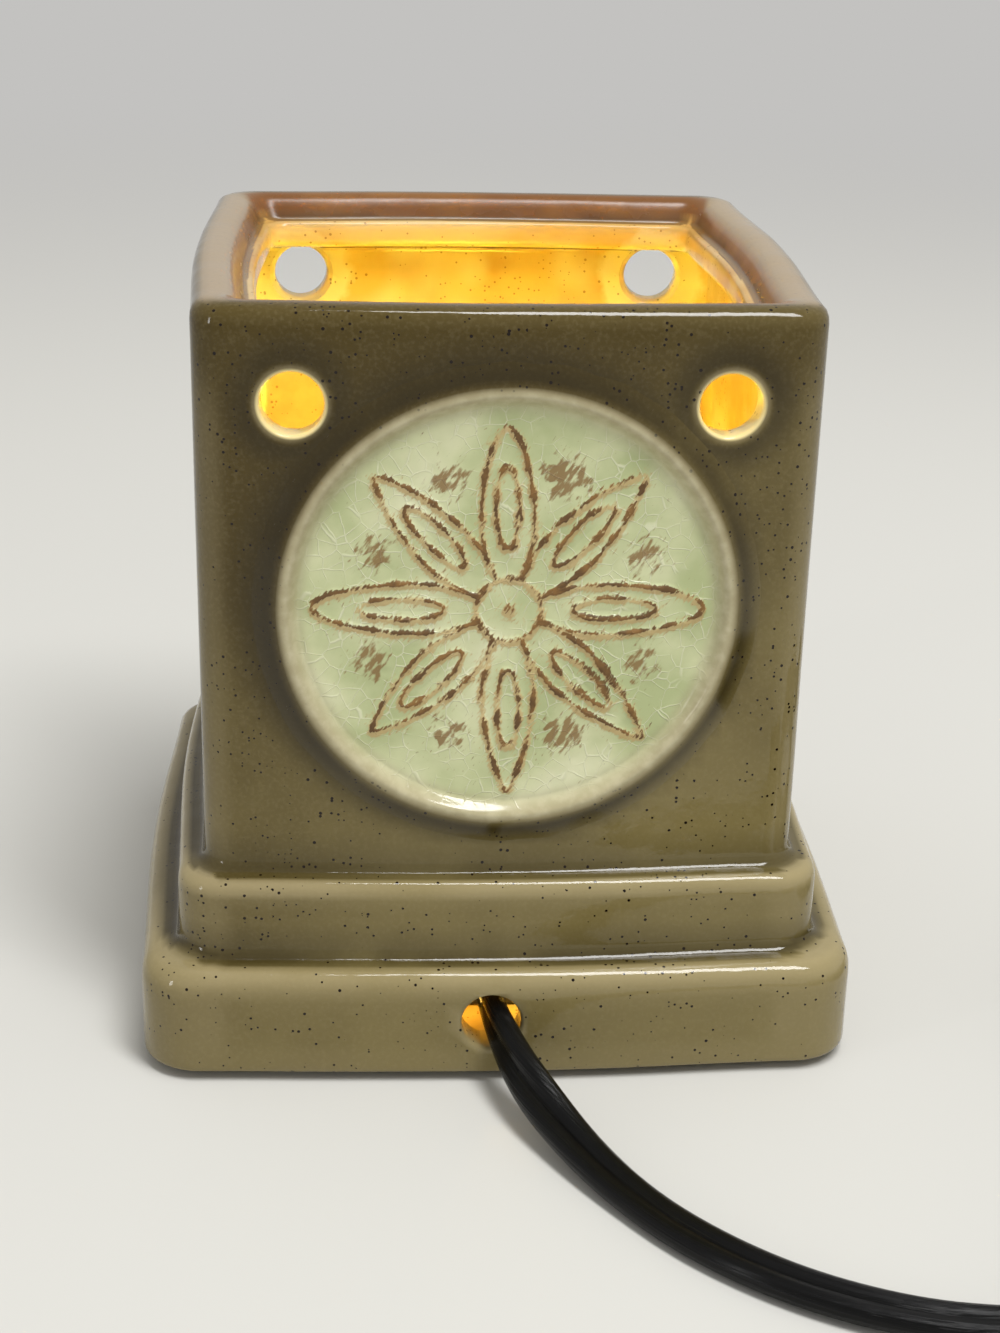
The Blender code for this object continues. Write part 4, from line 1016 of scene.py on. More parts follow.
PHENOLIC = Grained(
    "phenolic", "phenolic", tone(58, 48, 42), tone(40, 32, 28),
    scale=400.0, rough=0.35, spread=0.2, depth=0.00005,
)
PLASTIC = Grained(
    "plastic", "black_plastic", tone(36, 36, 38), tone(24, 24, 25),
    scale=300.0, rough=0.3, spread=0.16, depth=0.00006,
)


# Sub-assemblies


@dataclass
class CeramicBody:
    """Glazed body: rim, walls, step, plinth, floor and lamp seat in one closed surface, with its holes."""

    half: float = 0.0525
    corner: float = 0.0065
    corner_growth: float = 0.354
    corner_shrink: float = 0.25
    bow: float = 0.0017
    wall: float = 0.0055
    crest: float = 0.1364
    rim_flat: float = 0.0066
    ledge: float = 0.1317
    ledge_in: float = 0.0088
    lip_in: float = 0.0111
    lip_under: float = 0.1269
    undercut: float = 0.1256
    step_top: float = 0.0357
    step_out: float = 0.0047
    plinth_top: float = 0.0210
    plinth_out: float = 0.0113
    foot: float = 0.0015
    floor_under: float = 0.0030
    floor_top: float = 0.0065
    seat_under: float = 0.0090
    seat_top: float = SEAT_TOP
    seat_radius: float = 0.0290
    hollow: float = 0.0240
    bore: float = 0.0055
    vent_radius: float = 0.00525
    vent_rounds: Pair = (0.0009, 0.0013)
    cord_radius: float = 0.0052
    cord_rounds: Pair = (0.0010, 0.0002)
    hole_steps: int = 56
    cut_past: float = 0.001
    recess: float = 0.0016
    recess_edge: Pair = (0.0365, 0.0385)
    medallion_level: float = 0.0850
    warp: float = 0.0001
    warp_waves: Pair = (0.055, 0.06)
    warp_levels: Pair = (0.09, 0.13)
    thin_bend: Pair = (0.0011, 260.0)
    pool_bend: Pair = (0.0016, 190.0)
    pool_start: float = 0.0395
    pool_spread: Pair = (0.0046, 0.0062)
    pool_lean: Pair = (-0.866, 0.5)
    lining_blend: float = 0.0012
    hole_thin: Pair = (0.0054, 0.0070)
    worn_levels: Pair = (0.118, 0.128)
    # Width over which the painted reflection and the painted glow on the rim fade in.
    sheen_and_glow_ramp: float = 0.0022
    side_steps: int = 35
    corner_steps: int = 10
    spacing: float = 0.0028

    def corners(self) -> tuple[Array, Array]:
        """Corners of the wall's loop, over the rim, down outside, under the floor and up inside.

        Returns:
            Rows of (offset, height, radius, roundness), and how far each is rounded. Roundness 0 takes the
            square section at the offset, and 1 a circle of the radius.
        """
        plinth_in = self.plinth_out - self.wall
        step_in = self.step_out - self.wall
        shelf = self.plinth_top - self.wall
        shoulder = self.step_top - self.wall
        rows = [
            (-self.ledge_in, self.ledge, 0, 0, 0.0009),
            (-self.rim_flat, self.crest, 0, 0, 0.0026),
            (0, self.crest, 0, 0, 0.0035),
            (0, self.step_top, 0, 0, 0.0026),
            (self.step_out, self.step_top, 0, 0, 0.0033),
            (self.step_out, self.plinth_top, 0, 0, 0.0026),
            (self.plinth_out, self.plinth_top, 0, 0, 0.0052),
            (self.plinth_out, self.foot, 0, 0, 0.0013),
            (plinth_in, self.foot, 0, 0, 0.0006),
            (plinth_in, self.floor_under, self.hollow, 0, 0.0006),
            (plinth_in, self.floor_under, self.hollow, 1, 0.0006),
            (0, self.seat_under, self.hollow, 1, 0.0012),
            (0, self.seat_under, self.bore, 1, 0.0004),
            (0, self.seat_top, self.bore, 1, 0.0004),
            (0, self.seat_top, self.seat_radius, 1, 0.0012),
            (plinth_in, self.floor_top, self.seat_radius, 1, 0.0012),
            (plinth_in, self.floor_top, self.seat_radius, 0, 0.0012),
            (plinth_in, shelf, 0, 0, 0.0022),
            (step_in, shelf, 0, 0, 0.0022),
            (step_in, shoulder, 0, 0, 0.0022),
            (-self.wall, shoulder, 0, 0, 0.0022),
            (-self.wall, self.undercut, 0, 0, 0.0012),
            (-self.lip_in, self.lip_under, 0, 0, 0.0015),
            (-self.lip_in, self.ledge, 0, 0, 0.0025),
        ]
        table = np.array(rows, float)
        return table[:, :4], table[:, 4]

    def flat(self, loop: Array) -> Array:
        """Distance from the axis and height of each row of the loop, on the middle of a side."""
        offset, height, radius, roundness = loop.T
        return np.stack([(1 - roundness) * (self.half + offset) + roundness * radius, height], axis=1)

    def swell(self, along: Array) -> Array:
        """Share of the bow at a place along a side from -1 to 1: (1 - v^2)^1.5."""
        return (1 - np.clip(along, -1, 1) ** 2) ** 1.5

    def columns(self) -> tuple[Array, Array, Array]:
        """Columns round the square: a side and a quarter circle, turned four times.

        Returns:
            The centre that each column's corner arc has, in half widths, its outward direction, and its
            share of the bow.
        """
        along = np.linspace(-1, 1, self.side_steps + 1)[:-1]
        angle = np.linspace(0, np.pi / 2, self.corner_steps + 1)[:-1]
        centre = np.concatenate([np.stack([1 + 0 * along, along], 1), np.ones((len(angle), 2))])
        arc = np.stack([np.cos(angle), np.sin(angle)], 1)
        way = np.concatenate([np.tile([1.0, 0.0], (len(along), 1)), arc])
        swell = np.concatenate([self.swell(along), 0 * angle])
        quarter = np.array([[0.0, 1.0], [-1.0, 0.0]])
        turns = [np.linalg.matrix_power(quarter, i) for i in range(4)]
        centre, way = (np.concatenate([part @ turn for turn in turns]) for part in (centre, way))
        return centre, way, np.tile(swell, 4)

    def surface(self, loop: Array) -> Surface:
        """Rings of the loop: square sections with round corners and bowed sides, blended into circles.

        A ring is centre * (half + offset - corner) + way * (corner + bow * swell), or radius * its own unit
        direction where it is round. Slow waves of a tenth of a millimetre make it look cast by hand.

        Args:
            loop: Rows of (offset, height, radius, roundness).

        Returns:
            The closed surface.
        """
        centre, way, swell = self.columns()
        offset, height, radius, roundness = (column[:, None] for column in loop.T)
        corner = self.corner + np.where(offset > 0, self.corner_growth, self.corner_shrink) * offset
        square = centre * (self.half + offset - corner)[..., None]
        square = square + way * (corner + self.bow * swell)[..., None]
        ray = centre * (self.half - self.corner) + way * (self.corner + self.bow * swell)[:, None]
        ray /= np.linalg.norm(ray, axis=1, keepdims=True)
        share = roundness[..., None]
        across = (1 - share) * square + share * radius[..., None] * ray
        points = np.concatenate([across, np.broadcast_to(height[..., None], (*across.shape[:2], 1))], axis=-1)
        inwards = np.minimum(ripple(points, self.warp_waves[0], 3), 1) - 1
        points[..., :2] += ray * (inwards * self.warp * (1 - roundness))[..., None]
        downwards = np.minimum(ripple(points[..., :2], self.warp_waves[1], 5), 1) - 1
        points[..., 2] += downwards * self.warp * ease(points[..., 2], *self.warp_levels)
        away = np.hypot(points[..., 0], points[..., 2] - self.medallion_level)
        outer = np.abs(points[..., 1]) > self.half - self.wall / 2
        sunk = self.recess * (1 - ease(away, *self.recess_edge)) * outer
        points[..., 1] -= np.sign(points[..., 1]) * sunk
        return Surface(points, close_rows=True)

    def hole(self, radius: float, depth: float, outer: float, inner: float) -> Array:
        """Outline of a hole's cutter, from outside inwards, with a quarter round at each face.

        Args:
            radius: Radius of the hole.
            depth: Thickness that it goes through.
            outer: Radius of the round at the outer face.
            inner: Radius of the round at the inner face.

        Returns:
            Rows of (radius, height), with the outer face at height 0.
        """
        angle = np.radians(np.linspace(14, 90, 7))
        rise = 0.003
        first = np.stack([radius + outer * (1 - np.sin(angle)), outer * (np.cos(angle) - 1)], 1)
        last = np.stack([radius + inner * (1 - np.sin(angle)), inner * (1 - np.cos(angle)) - depth], 1)[::-1]
        start = [(0, rise), (radius + outer + rise / 3, rise)]
        end = [(radius + inner + rise / 3, -depth - rise), (0, -depth - rise)]
        return np.concatenate([start, first, last, end])

    def cutters(self) -> list[Surface]:
        """Cutters of the four vents and the cord hole, square to the bowed face that each goes through.

        Returns:
            The cutters in their places.
        """
        straight = self.half - self.corner
        share = VENT_REACH / straight
        slope = 3 * self.bow * share * math.sqrt(1 - share**2) / straight
        face = self.half + self.bow * float(self.swell(np.array(share)))
        vent = lathe(self.hole(self.vent_radius, self.wall, *self.vent_rounds), self.hole_steps)
        lying = Matrix.Rotation(math.pi / 2, 3, "X")
        made = []
        for side in Side:
            for hand in (-1, 1):
                outwards = Matrix.Rotation(side.value + hand * math.atan(slope), 3, "Z") @ lying
                at = Matrix.Rotation(side.value, 3, "Z") @ Vector((hand * VENT_REACH, -face, VENT_LEVEL))
                made.append(vent.moved(tuple(at), outwards))
        plinth = self.half + self.plinth_out + self.bow
        deep = plinth - (self.half + self.step_out - self.wall) + self.cut_past
        cord = lathe(self.hole(self.cord_radius, deep, *self.cord_rounds), self.hole_steps)
        return [*made, cord.moved((CORD_SHIFT, -plinth, CORD_LEVEL), lying)]

    def offset_at(self, places: Array) -> Array:
        """Outward offset of places from the body's side: their distance to the bowed, rounded square.

        Args:
            places: Rows of places.

        Returns:
            An offset for each place.
        """
        across = np.abs(places[:, :2])
        past = across - (self.half - self.corner)
        outside = np.linalg.norm(np.maximum(past, 0), axis=1) + np.minimum(past.max(axis=1), 0) - self.corner
        return outside - self.bow * self.swell(across.min(axis=1) / (self.half - self.corner))

    def glaze_depth(self, loop: Array) -> tuple[Array, Array]:
        """How thin and how deep the glaze lies along the loop, from how sharply it turns out or in.

        Args:
            loop: Rows of (offset, height, radius, roundness).

        Returns:
            Thinness and depth from 0 to 1 for each row, smoothed along the loop.
        """
        flat = self.flat(loop)
        ahead = np.roll(flat, -1, axis=0) - flat
        behind = np.roll(ahead, 1, axis=0)
        cross = behind[:, 0] * ahead[:, 1] - behind[:, 1] * ahead[:, 0]
        turn = np.arctan2(cross, (behind * ahead).sum(axis=1))
        length = np.linalg.norm(ahead, axis=1)
        own = (length + np.roll(length, 1)) / 2
        along = np.cumsum(length)
        apart = along[:, None] - along[None]
        smoothed = []
        for (reach, scale), sign in ((self.thin_bend, -1.0), (self.pool_bend, 1.0)):
            weight = np.exp(-((apart / reach) ** 2)) * own[None]
            bend = np.clip(sign * turn / own / scale, 0, 1)
            smoothed.append(np.clip((weight * bend).sum(axis=1) / weight.sum(axis=1), 0, 1))
        return smoothed[0], smoothed[1]

    def pool(self, across: Array, up: Array) -> Array:
        """Dark glaze round a medallion: it fades outwards over a width that is greatest at the upper left.

        Args:
            across: Places to the right of the medallion's middle.
            up: Places above it.

        Returns:
            Depth of the glaze from 0 to 1.
        """
        away = np.hypot(across, up) + 1e-9
        lean = (self.pool_lean[0] * across + self.pool_lean[1] * up) / away
        spread = self.pool_spread[0] + self.pool_spread[1] * (1 + lean) / 2
        return 1 - ease((away - self.pool_start) / spread, 0, 1)

    def lined(self, places: Array, offset: Array) -> Array:
        """Where the lining is: past the middle of the wall and under the ledge, but not below the floor.

        Args:
            places: Rows of places on the finished body.
            offset: Their outward offset from its side.

        Returns:
            1 on the lining and 0 on the outer glaze.
        """
        height, core = places[:, 2], self.wall / 2
        middle = np.where(height > self.step_top - core, -core, self.step_out - core)
        middle = np.where(height < self.plinth_top - core, self.plinth_out - core, middle)
        inside = 1 - ease(offset - middle, -self.lining_blend, self.lining_blend)
        lip = ease(-offset, self.ledge_in - 0.0003, self.ledge_in + 0.0007)
        inside = np.where(height > self.undercut, lip * (height < self.ledge + 0.0008), inside)
        hollowed = np.hypot(*places[:, :2].T) < self.hollow + 0.0004
        under = height < np.where(hollowed, self.seat_under, self.floor_under) + 0.001
        return np.where(under, 0, inside)

    def marks(self, places: Array, loop: Array) -> dict[str, Array]:
        """What the glaze needs to know at each place.

        Args:
            places: Rows of places on the finished body.
            loop: Rows of (offset, height, radius, roundness).

        Returns:
            Thinness, depth, whether it is inside, the painted reflection on the rims, and the rust and
            painted glow on the rim's inner slope, from 0 to 1.
        """
        offset, height = self.offset_at(places), places[:, 2]
        wall = loop[:, 3] == 0
        thinness, depth = self.glaze_depth(loop)
        gap = (offset[:, None] - loop[wall, 0]) ** 2 + (height[:, None] - loop[wall, 1]) ** 2
        nearest = gap.argmin(axis=1)
        thin, pooled = thinness[wall][nearest], depth[wall][nearest]
        outside = np.abs(places[:, 1]) > self.half - self.wall / 2
        pool = self.pool(-np.sign(places[:, 1]) * places[:, 0], height - self.medallion_level)
        pooled = np.maximum(pooled, pool * outside)
        hole = np.hypot(places[:, 0] - CORD_SHIFT, height - CORD_LEVEL)
        front = places[:, 1] < -self.half - self.step_out
        thin = np.maximum(thin, 0.8 * (1 - ease(hole, *self.hole_thin)) * front)
        upright = ease(np.abs(places[:, :2]).min(axis=1), self.half - self.corner, self.half - 0.0024)
        thin = np.maximum(thin, 0.35 * upright * (offset > -0.002) * (1 - pooled))
        thin *= 1 - 0.9 * ease(height, *self.worn_levels)
        beside = ease(np.abs(places[:, 0]) - np.abs(places[:, 1]), -0.006, 0.006)
        above = ease(height, self.ledge - 0.001, self.ledge + 0.001)
        # Painted reflection: a pale mark on the rims, mostly on the sides, stands in for the sky reflected
        # there.
        painted_sheen = ease(-offset - 0.0034 + 0.0028 * beside, 0, self.sheen_and_glow_ramp) * above * (0.3 + 0.7 * beside)
        # Partly rust and partly the bulb's painted glow on the rim's inner slope.
        rust_and_glow = ease(-offset - 0.0030 - 0.0032 * beside, 0, self.sheen_and_glow_ramp) * above
        inside = self.lined(places, offset)
        return {"thin": thin, "pooled": pooled, "inside": inside, "painted_sheen": painted_sheen, "rust_and_glow": rust_and_glow}

    def build(self) -> Piece:
        """The whole body, cut by its holes.

        Returns:
            The piece.
        """
        corners, reach = self.corners()
        loop = eased(corners, reach, 5, True, self.flat(corners))
        loop = densify(loop, self.flat(loop), self.spacing)
        body = shown("glazed_body", as_mesh("glazed_body", [self.surface(loop)]))
        holes = shown("holes", as_mesh("holes", self.cutters()))
        cut = body.modifiers.new("Holes", "BOOLEAN")
        cut.object = holes
        cut.operation = "DIFFERENCE"
        cut.solver = "EXACT"
        bpy.context.view_layer.update()
        mesh = bpy.data.meshes.new_from_object(body.evaluated_get(bpy.context.evaluated_depsgraph_get()))
        body.modifiers.clear()
        body.data = mesh
        bpy.data.objects.remove(holes)
        places = np.empty(len(mesh.vertices) * 3)
        mesh.vertices.foreach_get("co", places)
        for name, values in self.marks(places.reshape(-1, 3), loop).items():
            write_mark(mesh, name, values)
        return settle(body, TAUPE, Rides.BASE, ("ceramic_body",), 50.0)


@dataclass
class Medallion:
    """Round plaque: a bead round a disc with an eight-petal rosette in raised lines."""

    body: CeramicBody
    side: Side
    seed: int
    radius: float = 0.0392
    bead: float = 0.0032
    slope: float = 0.0025
    proud: float = 0.0016
    sink: float = 0.0005
    skirt: float = 0.0444
    follow: float = 0.6
    petals: int = 8
    petal_foot: float = 0.0054
    petal_wide: float = 0.0130
    petal_tip: float = 0.0332
    petal_half: float = 0.0046
    loop_middle: float = 0.0180
    loop_half: Pair = (0.0070, 0.0019)
    eye: float = 0.0056
    stroke: float = 0.00041
    border: float = 0.00085
    dust: float = 0.4
    dust_reach: float = 0.0020
    stain_lift: float = 0.00026
    dot: float = 0.0005
    wobble: float = 0.025
    tip_spread: Pair = (-0.0014, 0.0010)
    bluntness: Pair = (0.5, 0.95)
    sector: float = 0.4
    fray: Pair = (0.00007, 0.00016)
    fray_waves: Pair = (0.0011, 0.0045)
    patch_middle: float = 0.0248
    patch_half: Pair = (0.0040, 0.0046)
    patch_strength: Pair = (0.9, 1.6)
    heavy: Pair = (0.0162, -0.0128)
    heavy_reach: float = 0.0042
    line_rise: float = 0.00026
    border_rise: float = 0.00030
    patch_rise: float = 0.00012
    wave_rise: float = 0.00005
    back_radius: float = 0.0395
    back_depth: float = 0.0018
    edge_sink: float = 0.0004
    fine_rings: tuple[float, float, float] = (0.0030, 0.0340, 0.00027)
    bead_end: float = 0.0385
    columns: int = 640

    def petal_frames(self, across: Array, up: Array, turn: float) -> tuple[Array, Array]:
        """Places along and beside each of the petals' axes.

        Args:
            across: Places to the right.
            up: Places upwards.
            turn: Angle of the first axis.

        Returns:
            Distance along each axis and to its left, one layer to a petal.
        """
        angle = turn + np.arange(self.petals)[:, None, None] * 2 * np.pi / self.petals
        angle = angle + np.random.default_rng(self.seed).normal(0, self.wobble, (self.petals, 1, 1))
        return across * np.cos(angle) + up * np.sin(angle), up * np.cos(angle) - across * np.sin(angle)

    def petal_line(self, along: Array, aside: Array) -> Array:
        """Distance to the nearest petal's outline.

        Half of a petal's width is h (1 - u^2)^p about its widest place, with u = 1 at the tip, and no more
        than its share of the circle near the middle. The exponent and the tip differ a little from petal to
        petal.

        Args:
            along: Distance along each petal's axis.
            aside: Distance to its side.

        Returns:
            The distance.
        """
        chance = np.random.default_rng(self.seed + 5)
        tip = self.petal_tip + chance.uniform(*self.tip_spread, (self.petals, 1, 1))
        blunt = chance.uniform(*self.bluntness, (self.petals, 1, 1))

        def width(place: Array) -> Array:
            """Half of the petals' width at places along them.

            Args:
                place: Distance along each petal's axis.

            Returns:
                The half width there.
            """
            share = np.clip((place - self.petal_wide) / (tip - self.petal_wide), -0.95, 1)
            leaf = self.petal_half * (1 - share**2) ** blunt + 1e-6
            sector = self.sector * np.maximum(place, 1e-4)
            return (leaf**-6 + sector**-6) ** (-1 / 6)

        step = 0.0002
        slope = np.clip((width(along + step) - width(along - step)) / (2 * step), -2.5, 2.5)
        gap = np.abs(np.abs(aside) - width(along)) / np.hypot(1, slope)
        past = np.maximum(along - tip, 0) + np.maximum(self.petal_foot - along, 0)
        return np.hypot(gap, past).min(axis=0)

    def oval_line(self, along: Array, aside: Array) -> Array:
        """Distance to the nearest petal's inner oval, as (q - 1) over the slope of q = |(x / a, y / b)|.

        Args:
            along: Distance along each petal's axis.
            aside: Distance to its side.

        Returns:
            The distance.
        """
        long, wide = (along - self.loop_middle) / self.loop_half[0], aside / self.loop_half[1]
        size = np.hypot(long, wide) + 1e-6
        slope = np.hypot(long / self.loop_half[0], wide / self.loop_half[1]) / size + 1e-6
        return (np.abs(size - 1) / slope).min(axis=0)

    def patches(self, across: Array, up: Array) -> Array:
        """Brushed patches between the petals: a bell over each, broken by waves.

        Args:
            across: Places to the right.
            up: Places upwards.

        Returns:
            Strength of the patches from 0 to 1.
        """
        flat = np.stack([across, up], axis=-1)
        along, aside = self.petal_frames(across, up, np.pi / self.petals)
        long, wide = (along - self.patch_middle) / self.patch_half[0], aside / self.patch_half[1]
        chance = np.random.default_rng(self.seed + 1)
        bell = np.exp(-(long**2) - wide**2) * chance.uniform(*self.patch_strength, (self.petals, 1, 1))
        return np.clip(bell.max(axis=0) * ease(ripple(flat, 0.0036, self.seed + 4), -2.0, -0.3), 0, 1)

    def distances(self, across: Array, up: Array) -> list[Array]:
        """Distances to the petals' outlines, to their ovals, and to the circle and the dot at the middle.

        Args:
            across: Places to the right.
            up: Places upwards.

        Returns:
            Three distances for each place.
        """
        along, aside = self.petal_frames(across, up, 0.0)
        away = np.hypot(across, up)
        eye = np.minimum(np.abs(away - self.eye), np.abs(away - self.dot))
        return [self.petal_line(along, aside), self.oval_line(along, aside), eye]

    def lines(self, across: Array, up: Array) -> tuple[Array, Array]:
        """The rosette's lines at places on the disc.

        A line is exp(-(distance / width)^2), and waves fray its edges and fade it. The stain has caught on
        the upper side of each ridge, so the drawn line lies a little above the ridge and its buff border
        below.

        Args:
            across: Places to the right.
            up: Places upwards.

        Returns:
            Strength of the drawn lines, and of the wider border, from 0 to 1.
        """
        flat = np.stack([across, up], axis=-1)
        small, large = (ripple(flat, self.fray_waves[i], self.seed + i) for i in (0, 1))
        fray = self.fray[0] * small + self.fray[1] * large
        fade = 0.42 + 0.58 * ease(ripple(flat, 0.0075, self.seed + 2), -1.0, 0.1)
        heavy = np.exp(-((across - self.heavy[0]) ** 2 + (up - self.heavy[1]) ** 2) / self.heavy_reach**2)
        drawn, border = np.zeros(flat.shape[:2]), 0.3 * np.exp(-((np.hypot(across, up) / 0.0085) ** 2))
        above = self.distances(across, up - self.stain_lift)
        below = self.distances(across, up + self.stain_lift)
        for high, low, strength in zip(above, below, (1.0, 0.9, 0.7)):
            share = np.maximum(strength * fade, heavy)
            width = self.stroke * (1 + 1.2 * heavy)
            drawn = np.maximum(drawn, share * np.exp(-(((high + fray) / width) ** 2)))
            border = np.maximum(border, (0.62 + 0.38 * fade) * np.exp(-(((low + fray) / self.border) ** 2)))
            border = np.maximum(border, self.dust * np.exp(-((low / self.dust_reach) ** 2)))
        return drawn, border

    def surface(self) -> Surface:
        """Height over a disc in polar places: field, lines, bead, and a skirt that dies into the wall.

        Returns:
            The closed plaque, facing -Y, with marks for its finish.
        """
        first, last, _ = self.fine_rings
        middle, bead = np.linspace(0, first, 5)[:-1], np.linspace(last, self.bead_end, 20)
        skirt = np.linspace(self.bead_end, self.skirt, 11)[1:]
        away = np.concatenate([middle, np.arange(*self.fine_rings), bead, skirt])[:, None]
        angle = round_angles(self.columns)[None]
        across, up = away * np.cos(angle), away * np.sin(angle)
        straight = self.body.half - self.body.corner
        fall = self.body.bow * (1 - self.body.swell(across / straight))
        crest = self.radius - self.bead / 2
        inner = np.clip((crest - away) / self.slope, 0, 1)
        outer = np.clip((away - crest) / (self.skirt - crest), 0, 1)
        field_height = -self.follow * fall - self.sink
        top = -self.follow * fall + self.proud
        height = field_height + (top - field_height) * (1 - ease(inner, 0, 1))
        height = np.where(away > crest, top + (-fall - self.edge_sink - top) * glide(outer), height)
        field_share = 1 - ease(away, crest - 0.0044, crest - 0.0026)
        drawn, border = (field_share * line for line in self.lines(across, up))
        brushed = field_share * self.patches(across, up)
        flat = np.stack([across, up], axis=-1)
        waves = self.wave_rise * ripple(flat, 0.009, self.seed + 6)
        height = height + self.line_rise * drawn + self.border_rise * border
        height = height + self.patch_rise * brushed + waves
        back = np.array([[self.back_radius], [0.0]])
        rear = rings(back, -self.back_depth - self.follow * self.body.bow, angle)
        points = np.concatenate([np.stack([across, up, height], axis=-1), rear])
        aside, high, out = np.moveaxis(points, -1, 0)
        face = self.body.half + self.body.bow
        placed = np.stack([aside, -(face + out), high + self.body.medallion_level], axis=-1)
        marks = {
            "line": drawn,
            "halo": border,
            "brushed": brushed,
            "bead": ease(away, crest - 0.0042, crest - 0.0004) + 0 * angle,
            "rim": ease(away, crest - 0.0002, crest + 0.0016) + 0 * angle,
            "thin": 0.85 * (1 - ease(away, crest + 0.0003, crest + 0.0017)) + 0 * angle,
            "pooled": ease(away, crest + 0.0006, crest + 0.0030) * self.body.pool(across, up),
        }
        marks = {name: np.concatenate([mark, np.zeros((2, self.columns))]) for name, mark in marks.items()}
        return Surface(placed, marks=marks).moved((0, 0, 0), Matrix.Rotation(self.side.value, 3, "Z"))

    def build(self) -> Piece:
        """The plaque on its side of the body."""
        side = self.side.name.lower()
        return make_piece("rosette_" + side, self.surface(), GREEN, "medallion_" + side)


@dataclass
class Pads:
    """Four felt pads under the corners."""

    radius: float = 0.0060
    thickness: float = 0.0027
    reach: float = 0.0473
    rounding: float = 0.0006
    uneven: float = 0.012
    fibre: float = 0.0016

    def build(self) -> None:
        """Discs with a soft upper edge, pressed flat below, their sides a little uneven."""
        corners = [(0, 0), (self.radius, 0), (self.radius, self.thickness), (0, self.thickness)]
        disc = turned(corners, self.rounding, 64)
        disc.points[..., :2] *= 1 - self.uneven * np.abs(ripple(disc.points, self.fibre, 7))[..., None]
        for row, ahead in (("front", -1), ("rear", 1)):
            for hand, aside in HANDS:
                at = (aside * self.reach, ahead * self.reach, 0.0)
                make_piece(f"felt_{row}_{hand}", disc.moved(at), FELT, f"pad_{row}_{hand}")


def nut(flats: float, bore: float, low: float, high: float) -> Surface:
    """A six-sided nut: rings with radius flats / (2 cos a) about each flat, its corners turned down.

    Args:
        flats: Width over two flats.
        bore: Radius of the bore.
        low: Height of its underside.
        high: Height of its top.

    Returns:
        The closed surface.
    """
    angle = round_angles(96)
    six = flats / 2 / np.cos((angle + np.pi / 6) % (np.pi / 3) - np.pi / 6)
    turned_down = np.minimum(six, flats / 2 * 1.04)
    chamfer = 0.0004
    lower = [(bore, low + chamfer), (bore + chamfer, low), (turned_down, low), (six, low + chamfer)]
    upper = [(six, high - chamfer), (turned_down, high), (bore + chamfer, high), (bore, high - chamfer)]
    points = [rings(radius, level, angle) for radius, level in lower + upper]
    return Surface(np.array(points), close_rows=True)


def screw(head: float, shank: float, top: float, seat: float, tip: float) -> Surface:
    """A screw about Z: a turned profile whose domed head has a slot, cut where |y| is under its half width.

    Args:
        head: Radius of the head.
        shank: Radius of the shank.
        top: Height of the head's top.
        seat: Height of the head's underside.
        tip: Height of the shank's end.

    Returns:
        The closed surface.
    """
    dome = np.stack([np.linspace(0, 0.9, 16) * head, np.full(16, top)], 1)
    side = [(head, top - 0.12 * head), (head, seat), (shank, seat)]
    point = [(shank, tip + shank / 2), (shank / 2, tip), (0, tip)]
    made = lathe(np.concatenate([dome, side, point]), 64)
    upper = made.points[:17]
    slot = (1 - ease(np.abs(upper[..., 1]), 0.13 * head, 0.2 * head)) * 0.45 * (top - seat)
    upper[..., 2] -= slot + 0.08 * head * (np.hypot(upper[..., 0], upper[..., 1]) / head) ** 2
    return made


def boxed_screw(box: tuple[Vector, Vector], head: float, shank: float) -> Surface:
    """A screw that stands in a box, with a head 1.2 mm thick.

    Args:
        box: Lowest and highest corner.
        head: Radius of the head.
        shank: Radius of the shank.

    Returns:
        The closed surface.
    """
    low, high = box
    middle = (low + high) / 2
    return screw(head, shank, high.z, high.z - 0.0012, low.z).moved((middle.x, middle.y, 0.0))


